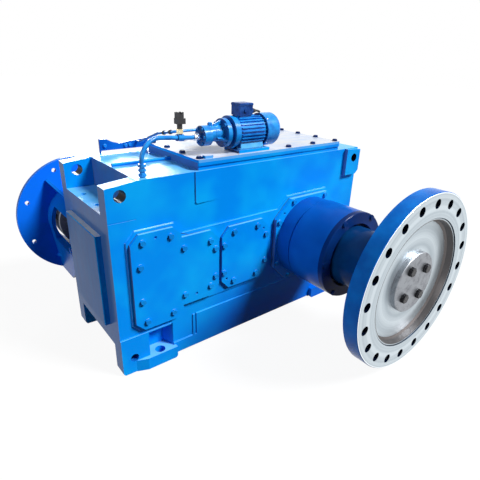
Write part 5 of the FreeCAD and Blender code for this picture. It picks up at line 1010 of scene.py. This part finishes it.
@dataclass
class WeldSeams:
    """Fillet welds of the housing, as rippled beads in the inner corners."""

    material: bpy.types.Material
    radius: float = 0.0035
    step: float = 0.007
    ripple: float = 0.16
    sides: int = 7
    input_half: Pair = (0.127, 0.235)
    input_chamfer: Pair = (0.039, 0.04)
    input_sides: tuple[int, ...] = (1, 2, 3, 4, 5)
    output_half: Pair = (0.241, 0.239)
    output_chamfer: Pair = (0.096, 0.094)
    output_sides: tuple[int, ...] = (0, 1, 2, 5, 6)
    strip_half: float = 0.182
    foot_runs: tuple[tuple[float, ...], ...] = (
        (-0.721, -0.476, 0.188), (-0.467, 0.458, 0.0705), (-0.34, 0.458, 0.188))

    def runs(self) -> list[tuple[Point, Point]]:
        """Lays out every bead.

        Returns:
            Start and end of each.
        """
        left = octagon((INPUT_X, SHAFT_Z), self.input_half, self.input_chamfer)
        right = octagon((OUTPUT_X, SHAFT_Z), self.output_half, self.output_chamfer)
        level = [(INPUT_X + self.input_half[0], OUTPUT_X - self.output_half[0], SHAFT_Z + side)
                 for side in (self.strip_half, -self.strip_half)]
        lines = [((x0, z), (x1, z)) for x0, x1, z in level]
        lines += [(left[k], left[k + 1]) for k in self.input_sides]
        lines += [(right[k], right[k + 1]) for k in self.output_sides]
        lines += [((x0, z), (x1, z)) for x0, x1, z in self.foot_runs]
        return [((a[0], wall, a[1]), (b[0], wall, b[1])) for wall in (-WALL_Y, WALL_Y) for a, b in lines]

    def build(self) -> bpy.types.Object:
        """Builds the beads.

        Returns:
            All of them as one piece.
        """
        shape = Shape()
        for start, end in self.runs():
            a, b = Vector(start), Vector(end)
            count = max(2, int((b - a).length / self.step))
            path = [a.lerp(b, k / count) for k in range(count)] + [b]
            shape.tube(path, self.radius, self.sides, self.ripple)
        return shape.finish("housing_weld_beads", self.material, "azure_enamel")


@dataclass
class CoverGasketShadowLines:
    """Dark sealing sheet round each bearing cover, partly a real gasket and partly a painted shadow line
    under the covers' edges.
    """

    material: bpy.types.Material
    proud: float = 0.0008
    thickness: float = 0.0016
    middle_half: Pair = (0.141, 0.16)
    middle_chamfer: Pair = (0.04, 0.044)
    output_half: Pair = (0.23, 0.228)
    output_chamfer: Pair = (0.096, 0.094)
    keyhole: tuple[Pair, ...] = (
        (-0.649, 0.256), (-0.61, 0.216), (-0.456, 0.216), (-0.417, 0.256), (-0.375, 0.272),
        (-0.267, 0.272), (-0.221, 0.318), (-0.221, 0.562), (-0.267, 0.608), (-0.375, 0.608),
        (-0.417, 0.624), (-0.456, 0.664), (-0.61, 0.664), (-0.649, 0.624))

    def build(self) -> bpy.types.Object:
        """Builds the gaskets.

        Returns:
            Those of both sides as one piece.
        """
        shape = Shape()
        outlines = (self.keyhole, octagon((THIRD_X, SHAFT_Z), self.middle_half, self.middle_chamfer),
                    octagon((OUTPUT_X, SHAFT_Z), self.output_half, self.output_chamfer))
        for side in (-1.0, 1.0):
            for outline in outlines:
                ring = [(x, side * PAD_Y, z) for x, z in outline]
                shape.band(ring, self.proud, self.thickness, Vector((0.0, side, 0.0)))
        return shape.finish("cover_gasket_shadow_lines", self.material, "seal_rubber")


@dataclass
class MotorTrim:
    """Small pieces of the lubrication motor: foot plates, screws, gland, cowl guard."""

    finishes: Finishes
    foot_x: Pair = (-0.078, 0.058)
    foot_y: Pair = (0.03, 0.0565)
    foot_z: Pair = (0.935, 0.944)
    foot_edge: float = 0.002
    foot_bolt_in: float = 0.011
    foot_bolt_y: float = 0.0465
    foot_bolt: Pair = (0.013, 0.007)
    lip_in: float = 0.004
    lip: tuple[Pair, ...] = ((0.0585, 0.942), (0.0575, 0.945), (0.0478, 0.9765), (0.0448, 0.975),
                             (0.0465, 0.9705), (0.054, 0.942))
    lid_x: Pair = (-0.067, 0.005)
    lid_y: Pair = (-0.227, -0.163)
    lid_screw_in: float = 0.007
    lid_screw_z: float = 1.1314
    lid_screw: Pair = (0.0032, 0.0022)
    seal_z: Pair = (1.1222, 1.1236)
    seal_proud: float = 0.0004
    seal_edge: float = 0.0003
    gland_at: Point = (0.0225, -0.203, 1.097)
    gland_nut: tuple[float, ...] = (0.019, 0.007, 0.1)
    gland_dome: tuple[Pair, ...] = ((0.006, 0.0085), (0.012, 0.0085), (0.0155, 0.0075), (0.018, 0.0055))
    stub_r: float = 0.0048
    stub: tuple[Pair, ...] = ((0.038, 1.097), (0.047, 1.0966), (0.055, 1.0952), (0.062, 1.0925),
                              (0.066, 1.0895))
    guard_x: float = 0.1488
    guard_rings: tuple[float, ...] = (0.008, 0.014, 0.02)
    guard_wire: float = 0.001
    spoke_reach: float = 0.0245
    spoke_r: float = 0.0009
    cowl_screw_x: float = 0.077
    cowl_screw_r: float = 0.0745
    cowl_screw: Pair = (0.0036, 0.0026)

    def build(self) -> None:
        """Builds every piece."""
        self.feet()
        self.terminal()
        self.gland()
        self.guard()

    def feet(self) -> None:
        """Foot plates on the bracket, with their sloping lips and holding bolts."""
        plates, bolts = Shape(), Shape()
        (x0, x1), (z0, z1) = self.foot_x, self.foot_z
        for sign in (-1.0, 1.0):
            y0, y1 = sorted(PUMP_Y + sign * y for y in self.foot_y)
            plates.block((x0, y0, z0), (x1, y1, z1), self.foot_edge)
            for x in (x0 + self.foot_bolt_in, x1 - self.foot_bolt_in):
                place = spot((x, PUMP_Y + sign * self.foot_bolt_y, z1))
                bolts.hexagon(place, *self.foot_bolt, washer=1.35)
            plates.loft([[Vector((x, PUMP_Y + sign * y, z)) for y, z in self.lip]
                         for x in (x0 + self.lip_in, x1 - self.lip_in)])
        plates.finish("motor_foot_plates", self.finishes.foot, "motor_enamel")
        bolts.finish("motor_foot_bolts", self.finishes.navy_and_shade, "navy_bolts", sharp=HEAD_SHARP)

    def terminal(self) -> None:
        """Screws and sealing line of the terminal box lid."""
        screws, seal = Shape(), Shape()
        (x0, x1), (y0, y1), (z0, z1) = self.lid_x, self.lid_y, self.seal_z
        for x in (x0 + self.lid_screw_in, x1 - self.lid_screw_in):
            for y in (y0 + self.lid_screw_in, y1 - self.lid_screw_in):
                screws.screw(spot((x, y, self.lid_screw_z)), *self.lid_screw)
        proud = self.seal_proud
        seal.block((x0 - proud, y0 - proud, z0), (x1 + proud, y1 + proud, z1), self.seal_edge)
        screws.finish("terminal_lid_screws", self.finishes.zinc, "machined_steel")
        seal.finish("terminal_lid_seal", self.finishes.rubber, "seal_rubber")

    def gland(self) -> None:
        """Cable gland with its nut, dome and a closed stub."""
        shape = Shape()
        place = spot(self.gland_at, Axis.RIGHT)
        shape.hexagon(place, *self.gland_nut)
        shape.turned(place, self.gland_dome, sides=28)
        shape.tube([Vector((x, self.gland_at[1], z)) for x, z in self.stub], self.stub_r, sides=14)
        shape.finish("terminal_gland", self.finishes.plastic, "black_plastic")

    def guard(self) -> None:
        """Wire guard over the cowl's air hole, and the screws that hold the cowl."""
        wires, screws = Shape(), Shape()
        middle = Vector((self.guard_x, PUMP_Y, PUMP_Z))
        half = self.guard_wire
        wire = [(-half, 0.0), (0.0, half), (half, 0.0), (0.0, -half)]
        for radius in self.guard_rings:
            profile = [(self.guard_x + dx, radius + dr) for dx, dr in wire]
            wires.loft([[Vector((x, PUMP_Y + r * math.cos(a), PUMP_Z + r * math.sin(a))) for x, r in profile]
                        for a in round_turn(count=32)], closed=True)
        for angle in round_turn(count=8)[:4]:
            reach = Vector((0.0, math.cos(angle), math.sin(angle))) * self.spoke_reach
            wires.tube([middle - reach, middle, middle + reach], self.spoke_r, sides=6)
        for angle in round_turn(count=4, start=45.0):
            out = Vector((0.0, math.cos(angle), math.sin(angle)))
            foot = Vector((self.cowl_screw_x, PUMP_Y, PUMP_Z)) + out * self.cowl_screw_r
            screws.screw(Matrix.Translation(foot) @ turn_to(out), *self.cowl_screw)
        wires.finish("cowl_guard", self.finishes.motor, "motor_enamel")
        screws.finish("cowl_screws", self.finishes.zinc, "machined_steel")


@dataclass
class PipeTrim:
    """Chamfered nuts of the pipe fittings, the bright union, and the clamps of the thin pipe."""

    finishes: Finishes
    nut_chamfer: float = 0.2
    foot: Pair = (-0.552, -0.243)
    foot_across: float = 0.0276
    foot_nuts: tuple[Pair, ...] = ((0.881, 0.011), (0.901, 0.01), (0.917, 0.0105))
    union_z: float = 1.001
    union_x: float = -0.2752
    union: Pair = (0.0306, 0.0145)
    ring_x: float = -0.2875
    ring: tuple[Pair, ...] = ((0.0, 0.0125), (0.001, 0.0134), (0.011, 0.0134), (0.0125, 0.0125))
    thin_start: Point = (-0.342, -0.121, 1.018)
    thin_end: Point = (-0.342, 0.02, 0.992)
    clamp_shares: tuple[float, ...] = (0.18, 0.6)
    clamp: tuple[Pair, ...] = ((-0.006, 0.0062), (-0.006, 0.0092), (-0.004, 0.0098), (0.004, 0.0098),
                               (0.006, 0.0092), (0.006, 0.0062))

    def build(self) -> None:
        """Builds every piece."""
        self.nuts()
        self.clamps()

    def nuts(self) -> None:
        """Nuts along the thick pipe."""
        painted, bright = Shape(), Shape()
        for low, height in self.foot_nuts:
            painted.hexagon(spot((*self.foot, low)), self.foot_across, height, self.nut_chamfer)
        bright.hexagon(spot((self.union_x, PUMP_Y, self.union_z), Axis.RIGHT), *self.union, self.nut_chamfer)
        bright.turned(spot((self.ring_x, PUMP_Y, self.union_z), Axis.RIGHT), self.ring, sides=30)
        painted.finish("pipe_foot_nuts", self.finishes.motor, "motor_enamel", sharp=HEAD_SHARP)
        bright.finish("pump_union_nut", self.finishes.zinc, "machined_steel", sharp=HEAD_SHARP)

    def clamps(self) -> None:
        """Black clamps on the thin pipe."""
        shape = Shape()
        start, end = Vector(self.thin_start), Vector(self.thin_end)
        turn = turn_to((end - start).normalized())
        for share in self.clamp_shares:
            place = Matrix.Translation(start.lerp(end, share)) @ turn
            shape.turned(place, self.clamp, sides=22, closed=True)
        shape.finish("suction_pipe_clamps", self.finishes.plastic, "black_plastic")


@dataclass(frozen=True)
class Sun:
    """A soft sun lamp: its name, the direction towards it, its strength and its width in degrees."""

    name: str
    towards: Point
    strength: float
    softness: float

    def build(self) -> None:
        """Adds the lamp."""
        data = bpy.data.lights.new(self.name, "SUN")
        data.energy = self.strength
        data.angle = math.radians(self.softness)
        lamp = bpy.data.objects.new(self.name, data)
        lamp.matrix_world = turn_to(Vector(self.towards))
        bpy.context.scene.collection.objects.link(lamp)


@dataclass
class Studio:
    """Camera, lamps, floor and pale surroundings."""

    eye: Point = (-1.2152, -1.6893, 1.299)
    azimuth: float = -38.68
    elevation: float = 23.62
    roll: float = 1.83
    lens: float = 30.55
    sensor: float = 36.0
    view_end: float = 200.0
    floor_size: float = 60.0
    floor_tone: float = 0.07
    ambient: float = 0.075
    white: Colour = (1.0, 1.0, 1.0, 1.0)
    suns: tuple[Sun, ...] = (
        Sun("key", (0.438, -0.548, 0.712), 4.9, 17.0),
        Sun("rear_fill", (0.3, 0.9, 0.3), 1.8, 20.0),
        Sun("left_fill", (-1.0, -0.04, 0.38), 1.0, 25.0),
    )

    def build(self) -> None:
        """Sets everything up."""
        self.camera()
        self.world()
        self.floor()
        for sun in self.suns:
            sun.build()
        bpy.context.scene.view_settings.view_transform = "Standard"

    def camera(self) -> None:
        """Places the camera from its measured angles."""
        az, el, roll = (math.radians(v) for v in (self.azimuth, self.elevation, self.roll))
        forward = Vector((-math.sin(az) * math.cos(el), math.cos(az) * math.cos(el), -math.sin(el)))
        level = Vector((math.cos(az), math.sin(az), 0.0))
        upright = level.cross(forward)
        right = level * math.cos(roll) + upright * math.sin(roll)
        up = upright * math.cos(roll) - level * math.sin(roll)
        data = bpy.data.cameras.new("view")
        data.sensor_width = self.sensor
        data.lens = self.lens
        data.clip_end = self.view_end
        camera = bpy.data.objects.new("view", data)
        turn = Matrix((right, up, -forward)).transposed().to_4x4()
        camera.matrix_world = Matrix.Translation(Vector(self.eye)) @ turn
        bpy.context.scene.collection.objects.link(camera)
        bpy.context.scene.camera = camera

    @staticmethod
    def seen(graph: Graph) -> Socket:
        """Tells rays that look at a surface from those that light one.

        Args:
            graph: the graph to add to.

        Returns:
            One for camera, glossy and transmission rays, nought for the others.
        """
        path = graph.add("ShaderNodeLightPath").outputs
        mirrored = graph.math("MAXIMUM", path["Is Glossy Ray"], path["Is Transmission Ray"])
        return graph.math("MAXIMUM", path["Is Camera Ray"], mirrored)

    def world(self) -> None:
        """White for the camera and for reflections, a low even light for everything else."""
        world = bpy.data.worlds.new("surroundings")
        world.use_nodes = True
        world.node_tree.nodes.clear()
        graph = Graph(world.node_tree)
        rest = graph.math("MULTIPLY", self.seen(graph), 1.0 - self.ambient)
        strength = graph.math("ADD", rest, self.ambient)
        light = graph.add("ShaderNodeBackground", {"Color": self.white, "Strength": strength})
        graph.add("ShaderNodeOutputWorld", {"Surface": light.outputs[0]})
        bpy.context.scene.world = world

    def floor(self) -> None:
        """A wide floor that looks white and keeps a faint shadow."""
        half, tone = self.floor_size / 2, self.floor_tone
        mesh = bpy.data.meshes.new("floor")
        corners = [(-half, -half, 0.0), (half, -half, 0.0), (half, half, 0.0), (-half, half, 0.0)]
        mesh.from_pydata(corners, [], [(0, 1, 2, 3)])
        material, graph = blank_material("floor")
        mesh.materials.append(material)
        sheet = bpy.data.objects.new("floor", mesh)
        bpy.context.scene.collection.objects.link(sheet)
        matt = graph.add("ShaderNodeBsdfDiffuse", {"Color": (tone, tone, tone, 1.0)})
        glow = graph.math("MULTIPLY", self.seen(graph), 1.0 - tone)
        white = graph.add("ShaderNodeEmission", {"Color": self.white, "Strength": glow})
        both = graph.add("ShaderNodeAddShader", {0: matt.outputs[0], 1: white.outputs[0]})
        graph.add("ShaderNodeOutputMaterial", {"Surface": both.outputs[0]})


@dataclass
class GearUnit:
    """The whole unit: which finish each CAD node has, and the pieces added round them."""

    finishes: Finishes
    plate_bolt_pitch_r: float = 0.088
    plate_bolt_y: float = -0.949
    plate_bolt_start: float = 36.5
    plate_bolt_head: Pair = (0.0364, 0.0154)

    def dress_nodes(self) -> None:
        """Gives every visible CAD node its finish."""
        f = self.finishes
        dress(f.housing, "housing", "front_keyhole_cover", "front_middle_cover", "output_cover",
              "rear_keyhole_cover", "rear_middle_cover", "rear_output_cover", "motor_bracket",
              "sensor_line", "side_cover_bolts")
        dress(f.top, "inspection_cover")
        dress(f.shaded_end_cover, "input_end_cover")
        dress(f.lantern_shaded, "input_lantern", "lantern_bolts")
        dress(f.shaded_azure, "output_sleeve", "pipe_rail")
        dress(f.navy_and_shade, "sleeve_end_ring", "sleeve_end_bolts", "inspection_cover_bolts")
        dress(f.box, "terminal_box", "terminal_lid")
        dress(f.motor, "lube_motor_body", "lube_motor_end_shields", "fan_cowl", "pump_bell_housing",
              "pump_body", "pump_cover", "pressure_pipe", "pipe_fittings", "suction_pipe",
              "lube_set_bolts")
        dress(f.flange, "output_flange")
        dress(f.plate, "output_end_plate")
        dress(f.shaft, "output_shaft", "input_pinion_shaft", "second_pinion_shaft",
              "third_pinion_shaft", "output_spacer", "lube_motor_rotor", "pump_drive_gear",
              "pump_idler_gear")
        dress(f.gear, "output_wheel", "second_stage_wheel", "first_stage_wheel", "bearing_outer_rings",
              "bearing_rollers", "output_bearing_inner_rings", "third_bearing_inner_rings",
              "second_bearing_inner_rings", "input_bearing_inner_rings")
        dress(f.black, "end_plate_bolts", "input_key")
        dress(f.iron, "coupling_hub", "pump_coupling")
        dress(f.brass, "switch_hexagon")
        dress(f.plastic, "pressure_switch", "lube_motor_fan")
        dress(f.rubber, "output_seal", "input_seal", "coupling_buffers")

    def add_bolts(self) -> None:
        """Puts detailed heads in place of the plain ones, and on the end plate's shanks."""
        f = self.finishes
        HexBolts("side_cover_bolts", f.bolt, "azure_enamel").build()
        HexBolts("inspection_cover_bolts", f.navy_and_shade, "navy_bolts").build()
        HexBolts("sleeve_end_bolts", f.navy_and_shade, "azure_enamel").build()
        HexBolts("lantern_bolts", f.lantern_shaded, "azure_enamel").build()
        HexBolts("lube_set_bolts", f.motor, "azure_enamel", washer=1.15).build()
        reach, out = self.plate_bolt_pitch_r, Vector(Axis.FRONT.value)
        feet = [Vector((OUTPUT_X + reach * math.cos(a), self.plate_bolt_y, SHAFT_Z + reach * math.sin(a)))
                for a in round_turn(count=4, start=self.plate_bolt_start)]
        spots = [(foot, out, *self.plate_bolt_head) for foot in feet]
        HexBolts("end_plate_bolts", f.black, "black_bolts", "output", stands_for=False, spots=spots).build()

    def add_trim(self) -> None:
        """Adds welds, gaskets that double as painted shadow lines, and the small pieces of the lubrication
        set.
        """
        WeldSeams(self.finishes.bead).build()
        CoverGasketShadowLines(self.finishes.rubber).build()
        MotorTrim(self.finishes).build()
        PipeTrim(self.finishes).build()


def main() -> None:
    """Builds the studio and the unit in order."""
    Studio().build()
    LOG.info("studio built")
    unit = GearUnit(Finishes())
    unit.dress_nodes()
    LOG.info("nodes dressed")
    unit.add_bolts()
    unit.add_trim()


if __name__ == "__main__":
    main()
